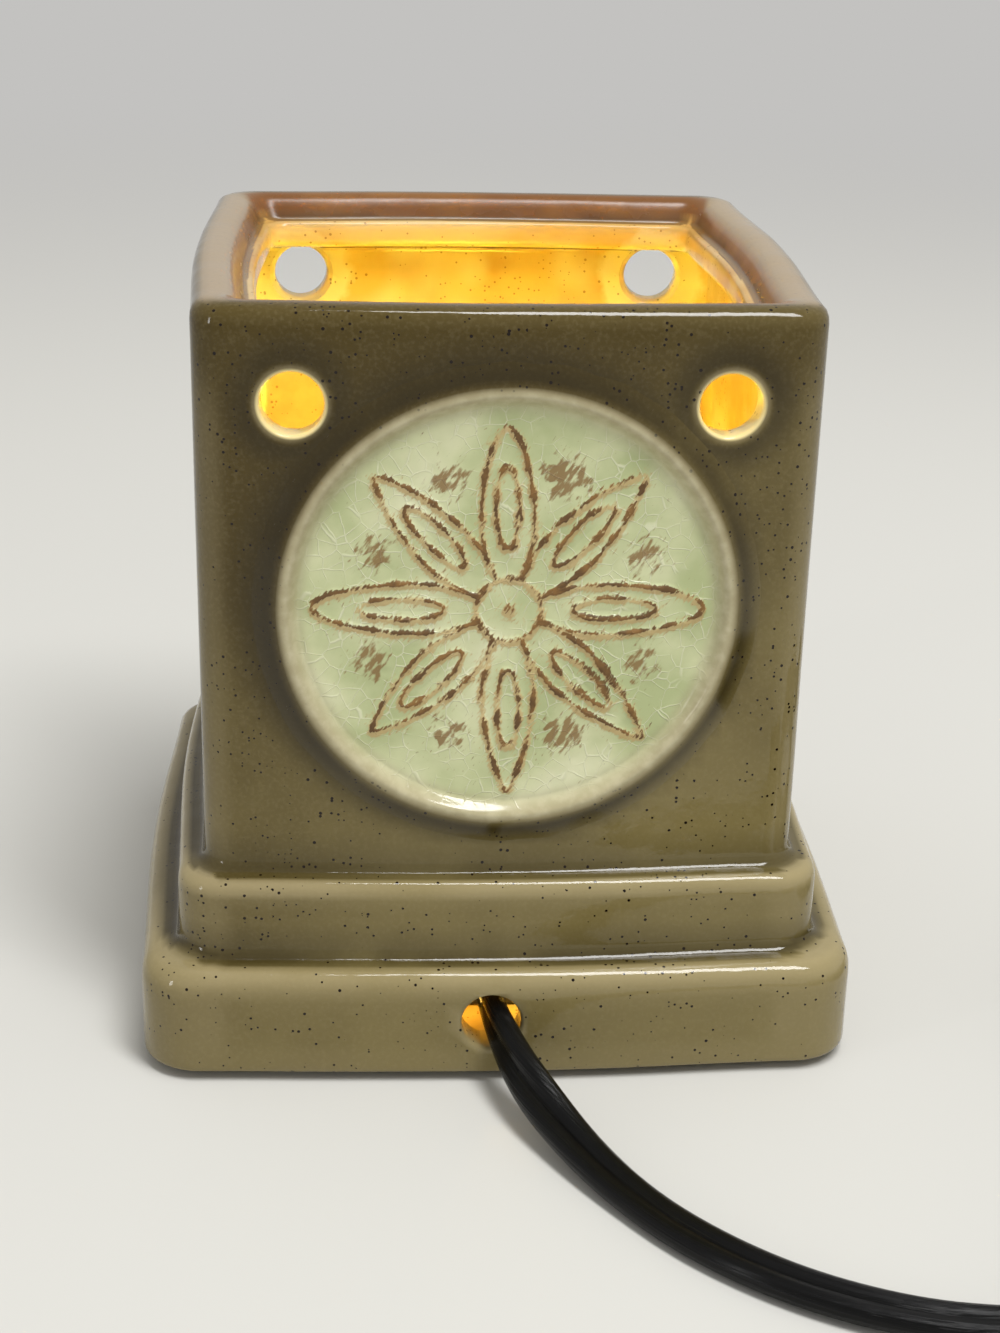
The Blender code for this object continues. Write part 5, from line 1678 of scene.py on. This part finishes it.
@dataclass
class LampHolder:
    """Porcelain holder with its screw shell, contact block, terminals and the nipple that clamps it."""

    radius: float = 0.0135
    bore: float = 0.0098
    base: float = 0.0146
    height: float = 0.0380
    floor: float = 0.0050
    hole: float = 0.0053
    groove: float = 0.0010
    thread: float = 0.0005
    shell: float = 0.0095
    shell_base: float = 0.0298
    shell_turns: int = 6
    sheet: float = 0.0005
    tube_ends: Pair = (0.0038, 0.0238)
    tube_radius: float = 0.0050
    tube_bore: float = 0.0032
    tube_wave: float = 0.00015
    tube_pitch: float = 0.0009
    nut_flats: float = 0.014
    nut_height: float = 0.003
    washer_radius: float = 0.0115
    washer_height: float = 0.001

    def outline(self) -> Corners:
        """Corners of the porcelain: bore, rim, a groove round its side, underside and hole.

        Returns:
            Rows of (radius, height).
        """
        top, inside = self.base + self.height, self.base + self.floor
        wide, neck = self.radius, self.radius - self.groove
        rim = [(self.bore, inside), (self.bore, top), (wide - 0.0008, top), (wide, top - 0.0016)]
        side = [(wide, 0.0120), (neck, 0.0110), (neck, 0.0085), (wide, 0.0075), (wide, 0)]
        below = [(radius, self.base + level) for radius, level in side]
        return [*rim, *below, (self.hole, self.base), (self.hole, inside)]

    def screw_shell(self) -> Surface:
        """A rolled thread in a sheet: radius = crest + depth/2 (cos(2 pi z / pitch - turn) - 1).

        Returns:
            The closed surface.
        """
        height = np.linspace(0, self.shell_turns * THREAD_PITCH, 100)[:, None]
        angle = round_angles(72)[None]
        wave = self.thread / 2 * (np.cos(2 * np.pi * height / THREAD_PITCH - angle) - 1)
        outside = self.shell + wave
        return sleeve(outside, outside - self.sheet, height + self.shell_base, angle)

    def tube(self) -> Surface:
        """The tube that clamps the holder: a fine thread outside and a plain bore.

        Returns:
            The closed surface.
        """
        height = np.linspace(*self.tube_ends, 110)[:, None]
        angle = round_angles(48)[None]
        turn = 2 * np.pi * height / self.tube_pitch - angle
        outside = self.tube_radius + self.tube_wave * (np.cos(turn) - 1)
        return sleeve(outside, np.full_like(outside, self.tube_bore), height, angle)

    def build(self) -> None:
        """Everything from the lower nut up to the holder's rim."""
        make_piece("holder", turned(self.outline(), 0.0008, 72, True), PORCELAIN, "socket_body")
        make_piece("threaded_shell", self.screw_shell(), BRASS, "screw_shell", crease=60.0)
        block = [(0.0019, 0.0241), (0.0019, 0.0295), (0.0095, 0.0295)]
        block += [(0.0095, 0.0232), (0.0053, 0.0232), (0.0053, 0.0241)]
        make_piece("centre_block", turned(block, 0.0004, 48, True), PHENOLIC, "contact_block")
        for name, side in HANDS:
            made = screw(0.0026, 0.0013, self.radius + 0.0021, self.radius + 0.0003, self.radius - 0.0034)
            lay = Matrix.Rotation(side * math.pi / 2, 3, "Y")
            at = (0.0, 0.0, TERMINAL_LEVEL)
            make_piece("terminal_screw_" + name, made.moved(at, lay), BRASS, "terminal_" + name)
        for name, low, finish in (("clamp_washer", 0.0077, ZINC), ("fibre_washer", 0.0133, FIBRE)):
            high, edge = low + self.washer_height, self.washer_radius
            washer = [(self.hole, low), (self.hole, high), (edge, high), (edge, low)]
            make_piece(name + "_turned", turned(washer, 0.0002, 64, True), finish, name)
        for name, low in (("nut_lower", 0.0044), ("nut_upper", 0.0199)):
            cut = nut(self.nut_flats, self.hole, low, low + self.nut_height)
            make_piece(name + "_cut", cut, ZINC, name)
        make_piece("threaded_tube", self.tube(), ZINC, "nipple", crease=60.0)
        plunger = [(0, 0.0341), (0.0026, 0.0341), (0.0026, 0.0329)]
        plunger += [(0.0014, 0.0329), (0.0014, 0.0244), (0, 0.0244)]
        contact = turned(plunger, 0.0004, 40)
        make_piece("sprung_contact", contact, BRASS, "contact_plunger", rides=Rides.CONTACT)
        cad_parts["contact_spring"].data.materials[0] = NICKEL.material()


@dataclass
class Bulb:
    """Clear round bulb with a screw cap and a lit filament."""

    base: float = 0.0344
    radius: float = 0.0175
    length: float = 0.0590
    neck: float = 0.00695
    neck_foot: float = 0.0125
    neck_top: float = 0.0188
    glass: float = 0.0008
    thread_radius: float = 0.00815
    thread: float = 0.0005
    cap_ends: Pair = (0.0031, 0.0170)
    cap_sheet: float = 0.0004
    cap_taper: float = 0.0006
    span: float = 0.0140
    filament_level: float = 0.0388
    filament_reach: float = 0.00022
    filament_turns: int = 34

    def outline(self, inset: float) -> Array:
        """Half outline of the glass from its crown to the end of its neck, set in by the glass.

        Args:
            inset: How far inside the outer face it lies.

        Returns:
            Rows of (radius, height).
        """
        middle = self.length - self.radius
        angle = np.radians(np.linspace(90, -38, 34))
        crown = (self.radius - inset) * np.stack([np.cos(angle), np.sin(angle)], 1) + [0, middle]
        share = np.linspace(0, 1, 16)[1:, None]
        neck = self.neck - inset
        fall = np.sin(share * np.pi / 2)
        across, up = crown[-1]
        side = np.hstack([across + (neck - across) * fall, up + (self.neck_top - up) * share])
        return np.concatenate([[(0, self.length - inset)], crown[1:], side, [(neck, self.neck_foot)]])

    def cap(self) -> Surface:
        """A screw cap with a rolled thread, radius = crest - depth/2 (1 - cos), dying out at both ends.

        Returns:
            The closed surface.
        """
        height = np.linspace(*self.cap_ends, 90)[:, None]
        angle = round_angles(72)[None]
        reach = ease(height, 0.0038, 0.0052) * (1 - ease(height, 0.0150, 0.0164))
        wave = (np.cos(2 * np.pi * height / THREAD_PITCH - angle) - 1) / 2
        root = self.thread_radius - self.thread
        taper = self.cap_taper * (1 - ease(height, self.cap_ends[0], 0.0040))
        outside = root + reach * self.thread * (1 + wave) - taper
        return sleeve(outside, np.full_like(outside, root - self.cap_sheet) - taper, height, angle)

    def coiled(self) -> Array:
        """Path of the filament: a fine helix round an arch, arch + r cos(a) across + r sin(a) up.

        Returns:
            Rows of places.
        """
        share = np.linspace(0, 1, 560)
        level = self.filament_level + 4 * share * (1 - share) * self.span / 6
        turn = 2 * np.pi * self.filament_turns * share
        aside, up = self.filament_reach * np.cos(turn), self.filament_reach * np.sin(turn)
        return np.stack([self.span * (share - 0.5), aside, level + up], axis=1)

    def add(self, name: str, surface: Surface, finish: Finish, node: str, crease: float = CREASE) -> None:
        """Puts a piece on the turning body, at the bulb's own height."""
        placed = surface.moved((0.0, 0.0, self.base))
        make_piece(name, placed, finish, node, rides=Rides.BULB, crease=crease)

    def build(self) -> None:
        """Tip, insulator, cap, glass, stem, posts and filament on the turning body."""
        tip = [(0, 0), (0.0019, 0.0003), (0.0024, 0.0010), (0, 0.0010)]
        self.add("solder_tip", turned(tip, 0.0005, 40), NICKEL, "bulb_tip")
        seat = [(0, 0.0013), (0.0027, 0.0013), (self.neck - 0.0008, 0.0029)]
        seat += [(self.neck - 0.0003, 0.0049), (0, 0.0049)]
        self.add("glass_seat", turned(seat, 0.0004, 56), PHENOLIC, "bulb_insulator")
        self.add("screw_cap", self.cap(), NICKEL, "bulb_cap", 60.0)
        shell = np.concatenate([self.outline(0.0), self.outline(self.glass)[::-1]])
        self.add("globe", lathe(shell, 96, True), GLASS, "bulb_glass", 60.0)
        stem = [(0, 0.0285), (0.0022, 0.0285), (0.0020, 0.0178), (0.00585, 0.0125), (0, 0.0125)]
        self.add("glass_stem", turned(stem, 0.0012, 48), GLASS, "bulb_stem")
        bends = [(0.0018, 0.0288), (0.0019, 0.0306), (0.0045, 0.0347), (self.span / 2, 0.0378)]
        for name, side in HANDS:
            route = np.array([(side * across, 0, level) for across, level in bends])
            post = wire(smooth_route(route, 0.0004), 0.0004)
            self.add("post_" + name, post, NICKEL, "filament_post_" + name)
        coil = wire(self.coiled(), 0.00009, 6)
        self.add("coiled_filament", coil, TUNGSTEN, "filament", 80.0)


@dataclass
class CordGrip:
    """Clamp on the floor that holds the cord on edge, with the leads from it to the terminals."""

    spread: float = 0.0019
    wire: float = 0.0011
    beside: float = 0.01525
    touch: float = -0.0029

    def lead(self, side: int) -> Array:
        """Path of a lead from the grip up to its terminal.

        Args:
            side: -1 for the left one and 1 for the right one.

        Returns:
            Rows of places.
        """
        start = GRIP_INNER + CORD_GAP
        level = CORD_LEVEL - side * self.spread
        over = SEAT_TOP + 4 * self.wire
        rise, run = TERMINAL_LEVEL - over, self.touch - start
        route = [
            (CORD_SHIFT, start, level),
            (CORD_SHIFT, start + 2 * self.wire, level),
            (CORD_SHIFT + side * self.beside * 0.25, start + run * 0.2, over),
            (side * self.beside * 0.75, start + run * 0.5, over + rise * 0.5),
            (side * self.beside * 1.08, start + run * 0.75, over + rise * 0.9),
            (side * self.beside, self.touch - 2 * self.wire, TERMINAL_LEVEL),
            (side * self.beside, self.touch, TERMINAL_LEVEL),
        ]
        return smooth_route(np.array(route), 0.0008)

    def build(self) -> None:
        """The clamp's two halves, its screws and both leads."""
        for node in ("grip_base", "grip_bar"):
            refined(node, PLASTIC, 0.0004)
        for name, side in HANDS:
            made = boxed_screw(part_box("grip_screw_" + name), 0.00192, 0.0012)
            make_piece("clamp_screw_" + name, made, ZINC, "grip_screw_" + name)
            lead = wire(self.lead(side), self.wire)
            make_piece("lead_" + name, lead, VINYL, "lead_wire_" + name)


@dataclass
class Cord:
    """Flat two-core cord: from its grip out of the hole, through the switch and into its coil."""

    thickness: float = 0.0038
    width: float = 0.0076
    grip_outer: float = -0.0505
    switch_entry: Pair = (0.0888, -0.1379)
    switch_length: float = 0.0520
    in_switch: float = 0.0044
    heading: float = math.radians(20)
    coil_lead: float = 0.0420
    coil_radius: float = 0.0455
    coil_turns: float = 4.228
    coil_pitch: float = 0.0048
    layer_gap: float = 0.0007
    tail: float = 0.0520
    tie: float = 0.0008
    plug_level: float = 0.0073
    bend_step: float = 0.0016
    spacing: float = 0.0022
    exit: Place = (CORD_SHIFT, -0.0655, CORD_LEVEL)

    def lead(self) -> Array:
        """Rows of place and tilt from the grip to the coil, 0 on edge and -90 lying flat.

        Returns:
            The rows, at an even spacing.
        """
        ahead = np.array([math.cos(self.heading), math.sin(self.heading)])
        entry = np.array(self.switch_entry)
        leave = entry + ahead * self.switch_length
        half = self.coil_lead - self.width - CORD_GAP
        on_floor = CORD_GAP + self.thickness / 2
        route = [
            (CORD_SHIFT, GRIP_INNER, CORD_LEVEL, 0),
            (CORD_SHIFT, self.grip_outer, CORD_LEVEL, 0),
            (CORD_SHIFT + 0.0006, -0.0615, CORD_LEVEL + 0.0001, 0),
            (0.0026, -0.0760, 0.0087, -30),
            (0.0092, -0.0885, 0.0046, -75),
            (0.0165, -0.1005, on_floor + 0.0003, -90),
            (0.0300, -0.1180, on_floor, -90),
            (0.0470, -0.1310, on_floor + 0.0002, -90),
            (0.0650, -0.1383, on_floor + 0.0008, -90),
            (*(entry - ahead * self.width), self.in_switch, -90),
            (*entry, self.in_switch, -90),
            (*leave, self.in_switch, -90),
            (*(leave + ahead * half * 0.25), self.in_switch, -80),
            (*(leave + ahead * half * 0.8), self.in_coil(), -5),
            (*(leave + ahead * half), self.in_coil(), 0),
        ]
        return smooth_route(np.array(route), self.bend_step)

    def in_coil(self) -> float:
        """Height of the cord's middle in the lower layer of the coil."""
        return CORD_GAP + self.tie + CORD_GAP + self.width / 2

    def coil(self) -> Array:
        """Rows of place and tilt of the coil: a flat spiral inwards, a climb, and a spiral out on top.

        Returns:
            The rows, from outside inwards and out again.
        """
        ahead = np.array([math.cos(self.heading), math.sin(self.heading)])
        left = np.array([-ahead[1], ahead[0]])
        meet = np.array(self.switch_entry) + ahead * (self.switch_length + self.coil_lead)
        layer = (self.coil_turns - 0.5) / 2
        outer = self.coil_radius + layer * self.coil_pitch / 2
        centre = meet + left * outer
        start = math.atan2(-left[1], -left[0])
        turns = np.linspace(0, self.coil_turns, 640)
        radius = outer - self.coil_pitch * np.minimum(turns, self.coil_turns - turns)
        height = self.in_coil() + ease(turns, layer, layer + 0.5) * (self.width + self.layer_gap)
        angle = start + 2 * np.pi * turns
        across, along = centre[0] + radius * np.cos(angle), centre[1] + radius * np.sin(angle)
        return np.stack([across, along, height, 0 * turns], axis=1)

    def tail_end(self, coil: Array) -> Array:
        """Rows of place and tilt from the coil down to the plug.

        Args:
            coil: Rows of the coil.

        Returns:
            Rows of the tail, from the coil's last one.
        """
        last = coil[-1, :3]
        turn = math.radians(360 * self.coil_turns)
        turn += math.atan2(-math.cos(self.heading), math.sin(self.heading))
        away = np.array([-math.sin(turn), math.cos(turn), 0.0])
        aside = np.array([away[1], -away[0], 0.0])
        rows = [(0, 0, 0, 0), (0.3, 0.001, 0, 0), (0.62, 0.0028, 0.55, 50), (0.88, 0.0035, 1, 90)]
        stops = np.array([*rows, (1, 0.0036, 1, 90)])
        places = last + away * self.tail * stops[:, :1] + aside * stops[:, 1:2]
        places[:, 2] += (self.plug_level - last[2]) * stops[:, 2]
        return smooth_route(np.hstack([places, stops[:, 3:]]), self.bend_step)

    def route(self) -> Array:
        """Rows of place and tilt of the whole cord at an even spacing.

        Returns:
            The rows, from the grip to the plug.
        """
        coil = self.coil()
        whole = np.vstack([self.lead(), coil[1:], self.tail_end(coil)[1:]])
        along = distance_along(whole)
        stops = np.linspace(0, along[-1], round(along[-1] / self.spacing))
        return np.stack([np.interp(stops, along, column) for column in whole.T], axis=1)

    def section(self) -> Array:
        """Two round cores and the web between: up^4 = core^4 + web^4, core^2 = r^2 - (|x| - r)^2.

        Returns:
            Rows of (across, up).
        """
        angle = round_angles(44)
        across = self.width / 2 * np.cos(angle)
        core = self.thickness / 2
        up = np.sqrt(np.maximum(core**2 - (np.abs(across) - core) ** 2, 0))
        web = 0.62 * core * (1 - ease(np.abs(across), 0.9 * core, 1.9 * core))
        return np.stack([across, np.sign(np.sin(angle)) * (up**4 + web**4) ** 0.25], axis=1)

    def build(self) -> tuple[Piece, Array]:
        """The cord as one tube, and the tie round its coil.

        Returns:
            The cord, and its rows of place and tilt.
        """
        route = self.route()
        wide, thick = directions(route[:, :3], route[:, 3])
        tube = carry(self.section(), route[:, :3], wide, thick)
        cord = make_piece("flat_cord", tube, VINYL, "cord_lead", "cord_coil", crease=60.0)
        refined("coil_tie", PLASTIC, 0.0002)
        return cord, route


@dataclass
class CordSwitch:
    """Switch on the cord: two half cases, a notched wheel on its pin, contacts and screws."""

    wheel_radius: float = 0.0095
    wheel_bore: float = 0.0020
    notch: float = 0.0006
    notches: int = 20
    edge: float = 0.0006
    dish: float = 0.0005

    def wheel(self) -> Surface:
        """A notched wheel: radius - notch * sin^2 of ten turns, its edges eased, round a bore.

        Returns:
            The closed surface in its place.
        """
        low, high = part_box("switch_wheel")
        middle = (low + high) / 2
        angle = round_angles(400)[None]
        thick, web = high.z - low.z, self.wheel_radius - self.wheel_bore
        corners = np.array([(0.0, 0.0), (1.0, 0.0), (1.0, thick), (0.0, thick)])
        profile = eased(corners * [web, 1], self.edge, 5, True)
        out, up = profile[:, :1], profile[:, 1:]
        share = out / web
        radius = self.wheel_bore + out - self.notch * share**8 * np.sin(self.notches * angle / 2) ** 2
        dished = self.dish * ease(share, 0.2, 0.4) * (1 - ease(share, 0.6, 0.8))
        level = up - dished * (2 * up / thick - 1)
        return Surface(rings(radius, level, angle), close_rows=True).moved((middle.x, middle.y, low.z))

    def build(self) -> list[Piece]:
        """Every piece of the switch.

        Returns:
            The pieces.
        """
        pieces = [refined(node, PLASTIC) for node in ("switch_lower", "switch_upper")]
        pieces.append(make_piece("notched_wheel", self.wheel(), PLASTIC, "switch_wheel", rides=Rides.WHEEL))
        pieces.append(refined("switch_pin", ZINC, 0.0002))
        pieces += [refined("switch_contact_" + end, BRASS, 0.0001) for end in ("in", "out")]
        for end in ("in", "out"):
            node = "case_screw_" + end
            made = boxed_screw(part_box(node), 0.0025, 0.0013)
            pieces.append(make_piece(node + "_slotted", made, ZINC, node))
        return pieces


@dataclass
class Plug:
    """Moulded two-blade plug at the end of the cord."""

    relief: float = 0.0220
    length: float = 0.0260
    half: Pair = (0.0120, 0.0070)
    start: Pair = (0.0049, 0.0030)
    spread: float = 2.0
    groove: float = 0.0005
    groove_pitch: float = 0.0042
    rounding: float = 0.0022
    waist: float = 0.0007
    columns: int = 88

    def body(self, end: Array, heading: float) -> Surface:
        """Stations along the plug whose outline is |y/a|^n + |z/b|^n = 1, with n from 2 at the cord to 5.

        The relief swells towards the body and has grooves across it, and the body's ends are rounded over.

        Args:
            end: End of the cord.
            heading: Its direction about Z.

        Returns:
            The closed surface.
        """
        relief = np.linspace(0, self.relief - 0.001, 56)
        along = np.concatenate([relief, self.relief + np.linspace(0, self.length, 40)])
        share = np.clip(along / self.relief, 0, 1)
        grow = 1 + (self.spread - 1) * share
        groove = self.groove * ease(np.sin(2 * np.pi * along / self.groove_pitch), 0.1, 0.7)
        groove = groove * ease(along, 0.002, 0.003) * (1 - ease(along, 0.0165, 0.0185))
        inside = ease(along, self.relief - 0.001, self.relief + 0.0016)
        past = np.maximum(along - (self.relief + self.length - self.rounding), 0) / self.rounding
        rounded = self.rounding * (1 - np.sqrt(np.maximum(1 - past**2, 0)))
        waist = self.waist * np.sin(np.pi * np.clip((along - self.relief) / self.length, 0, 1))
        power = (2 / (2 + 3 * inside))[:, None]
        angle = round_angles(self.columns)[None]
        axes = [along[:, None] + CORD_GAP + 0 * angle]
        for start, half, way in zip(self.start, self.half, (np.cos(angle), np.sin(angle))):
            size = start * grow - groove + (half - start * grow) * inside - rounded - waist * inside
            axes.append(size[:, None] * np.sign(way) * np.abs(way) ** power)
        points = np.stack(axes, axis=-1)
        caps = [np.broadcast_to([along[i] + CORD_GAP, 0, 0], (1, self.columns, 3)) for i in (0, -1)]
        whole = Surface(np.concatenate([caps[0], points, caps[1]]))
        return whole.moved(tuple(end), Matrix.Rotation(heading, 3, "Z"))

    def build(self, route: Array) -> list[Piece]:
        """The plug and its blades.

        Args:
            route: Rows of the cord's place and tilt.

        Returns:
            The pieces.
        """
        way = route[-1, :3] - route[-2, :3]
        surface = self.body(route[-1, :3], math.atan2(way[1], way[0]))
        pieces = [make_piece("moulded_plug", surface, PLASTIC, "plug_body", crease=50.0)]
        blades = [refined("plug_blade_" + side, NICKEL, 0.0004) for side in ("left", "right")]
        return pieces + blades


@dataclass
class Studio:
    """Pale floor, soft lamps, the bulb's own light and the camera."""

    camera_at: Place = (-0.02883, -0.40173, 0.21650)
    yaw: float = 0.0793
    pitch: float = 0.3856
    roll: float = -0.0254
    focus: float = 2215.55
    image_height: int = 1333
    sensor: float = 24.0
    floor_reach: float = 6.0
    floor_tone: Colour = tone(204, 203, 198)
    far_tone: Colour = tone(195, 194, 192)
    floor_level: float = -0.0001
    sky_tone: Colour = tone(241, 240, 237)
    sky_strength: float = 0.62
    aim: Place = (0.0, 0.0, 0.08)

    def camera(self) -> None:
        """A camera that looks along yaw and pitch, rolled, with the picture's own focal length in pixels."""
        level = math.cos(self.pitch)
        ahead = np.array([math.sin(self.yaw) * level, math.cos(self.yaw) * level, -math.sin(self.pitch)])
        right = np.array([math.cos(self.yaw), -math.sin(self.yaw), 0.0])
        down = np.cross(ahead, right)
        cos, sin = math.cos(self.roll), math.sin(self.roll)
        axes = np.stack([cos * right + sin * down, sin * right - cos * down, -ahead], axis=1)
        lens = bpy.data.cameras.new("camera")
        lens.sensor_fit = "VERTICAL"
        lens.sensor_height = self.sensor
        lens.lens = self.sensor * self.focus / self.image_height
        lens.clip_start = 0.01
        obj = shown("camera", lens)
        obj.matrix_world = Matrix.Translation(self.camera_at) @ Matrix(axes.tolist()).to_4x4()
        bpy.context.scene.camera = obj

    def floor(self) -> None:
        """A plain pale floor."""
        reach = np.linspace(-self.floor_reach, self.floor_reach, 9)
        across, ahead = np.meshgrid(reach, reach, indexing="ij")
        places = np.stack([across, ahead, 0 * across + self.floor_level], -1)
        mesh = as_mesh("floor", [Surface(places, close_columns=False)])
        obj = shown("floor", mesh)
        graph = Graph("finish_floor")
        graph.shade({"Base Color": self.floor_tone, "Roughness": 0.9, "Specular IOR Level": 0.1})
        self.far_floor(graph)
        mesh.materials.append(graph.material)
        if mesh.polygons[0].normal.z < 0:
            mesh.flip_normals()

    def far_floor(self, graph: Graph) -> None:
        """Gives the floor one even tone far away, as seen straight, in gloss and through glass.

        Args:
            graph: The floor's finish.
        """
        ways = graph.add("LightPath").outputs
        seen = graph.math("MAXIMUM", ways["Is Camera Ray"], ways["Is Glossy Ray"])
        seen = graph.math("MAXIMUM", seen, ways["Is Transmission Ray"])
        away = graph.add("VectorMath", {"operation": "LENGTH"}, {0: graph.place}).outputs["Value"]
        even = graph.add("Emission", inputs={"Color": self.far_tone}).outputs[0]
        share = graph.times(graph.span(away, 0.3, 1.2), seen)
        both = graph.add("MixShader", inputs={0: share, 1: graph.shader.outputs[0], 2: even}).outputs[0]
        end = next(node for node in graph.tree.nodes if node.type == "OUTPUT_MATERIAL")
        graph.feed(end.inputs["Surface"], both)

    def lamp(self, name: str, at: Place, size: Pair, power: float) -> None:
        """A soft box that faces the middle of the object.

        Args:
            name: Its name.
            at: Where it hangs.
            size: Its width and height.
            power: Its watts.
        """
        light = bpy.data.lights.new(name, "AREA")
        light.shape = "RECTANGLE"
        light.size, light.size_y = size
        light.energy = power
        obj = shown(name, light)
        obj.rotation_euler = (Vector(at) - Vector(self.aim)).to_track_quat("Z", "Y").to_euler()
        obj.location = at

    def glow(
        self, name: str, at: Place, radius: float, power: float, warmth: tuple[float, float, float]
    ) -> None:
        """A ball of the filament's warm light.

        Args:
            name: Its name.
            at: Its middle.
            radius: Its radius.
            power: Its watts.
            warmth: Its colour.
        """
        light = bpy.data.lights.new(name, "POINT")
        light.color = warmth
        light.energy = power
        light.shadow_soft_size = radius
        obj = shown(name, light)
        obj.location = at
        obj.visible_camera = False

    def sky(self) -> None:
        """Even light from all round."""
        world = bpy.data.worlds.new("studio")
        world.use_nodes = True
        backdrop = world.node_tree.nodes["Background"]
        backdrop.inputs["Color"].default_value = self.sky_tone
        backdrop.inputs["Strength"].default_value = self.sky_strength
        bpy.context.scene.world = world

    def build(self) -> None:
        """The whole set."""
        bpy.context.scene.view_settings.view_transform = "Standard"
        self.camera()
        self.floor()
        self.sky()
        self.lamp("key", at=(0.34, -0.44, 1.55), size=(0.36, 1.1), power=24.0)
        self.lamp("strip", at=(-1.0, -0.62, 0.32), size=(0.08, 0.36), power=0.9)
        middle = (0.0, 0.0, 0.0762)
        self.glow("filament_light", middle, radius=0.0182, power=2.6, warmth=(1.0, 0.85, 0.07))
        for side in (-1, 1):
            at = (side * 0.0034 + CORD_SHIFT, -0.0530, 0.0125)
            self.glow(f"hole_light_{side}", at, radius=0.0008, power=0.0035, warmth=(1.0, 0.62, 0.12))


def main() -> None:
    """Builds the set and every sub-assembly."""
    logging.basicConfig(level=logging.INFO, format="%(name)s %(message)s")
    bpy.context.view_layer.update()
    Studio().build()
    cord, route = Cord().build()
    carried = CordSwitch().build() + Plug().build(route)
    body = CeramicBody()
    body.build()
    Medallion(body, Side.FRONT, 11).build()
    Medallion(body, Side.REAR, 29).build()
    Pads().build()
    LampHolder().build()
    Bulb().build()
    CordGrip().build()


if __name__ == "__main__":
    main()
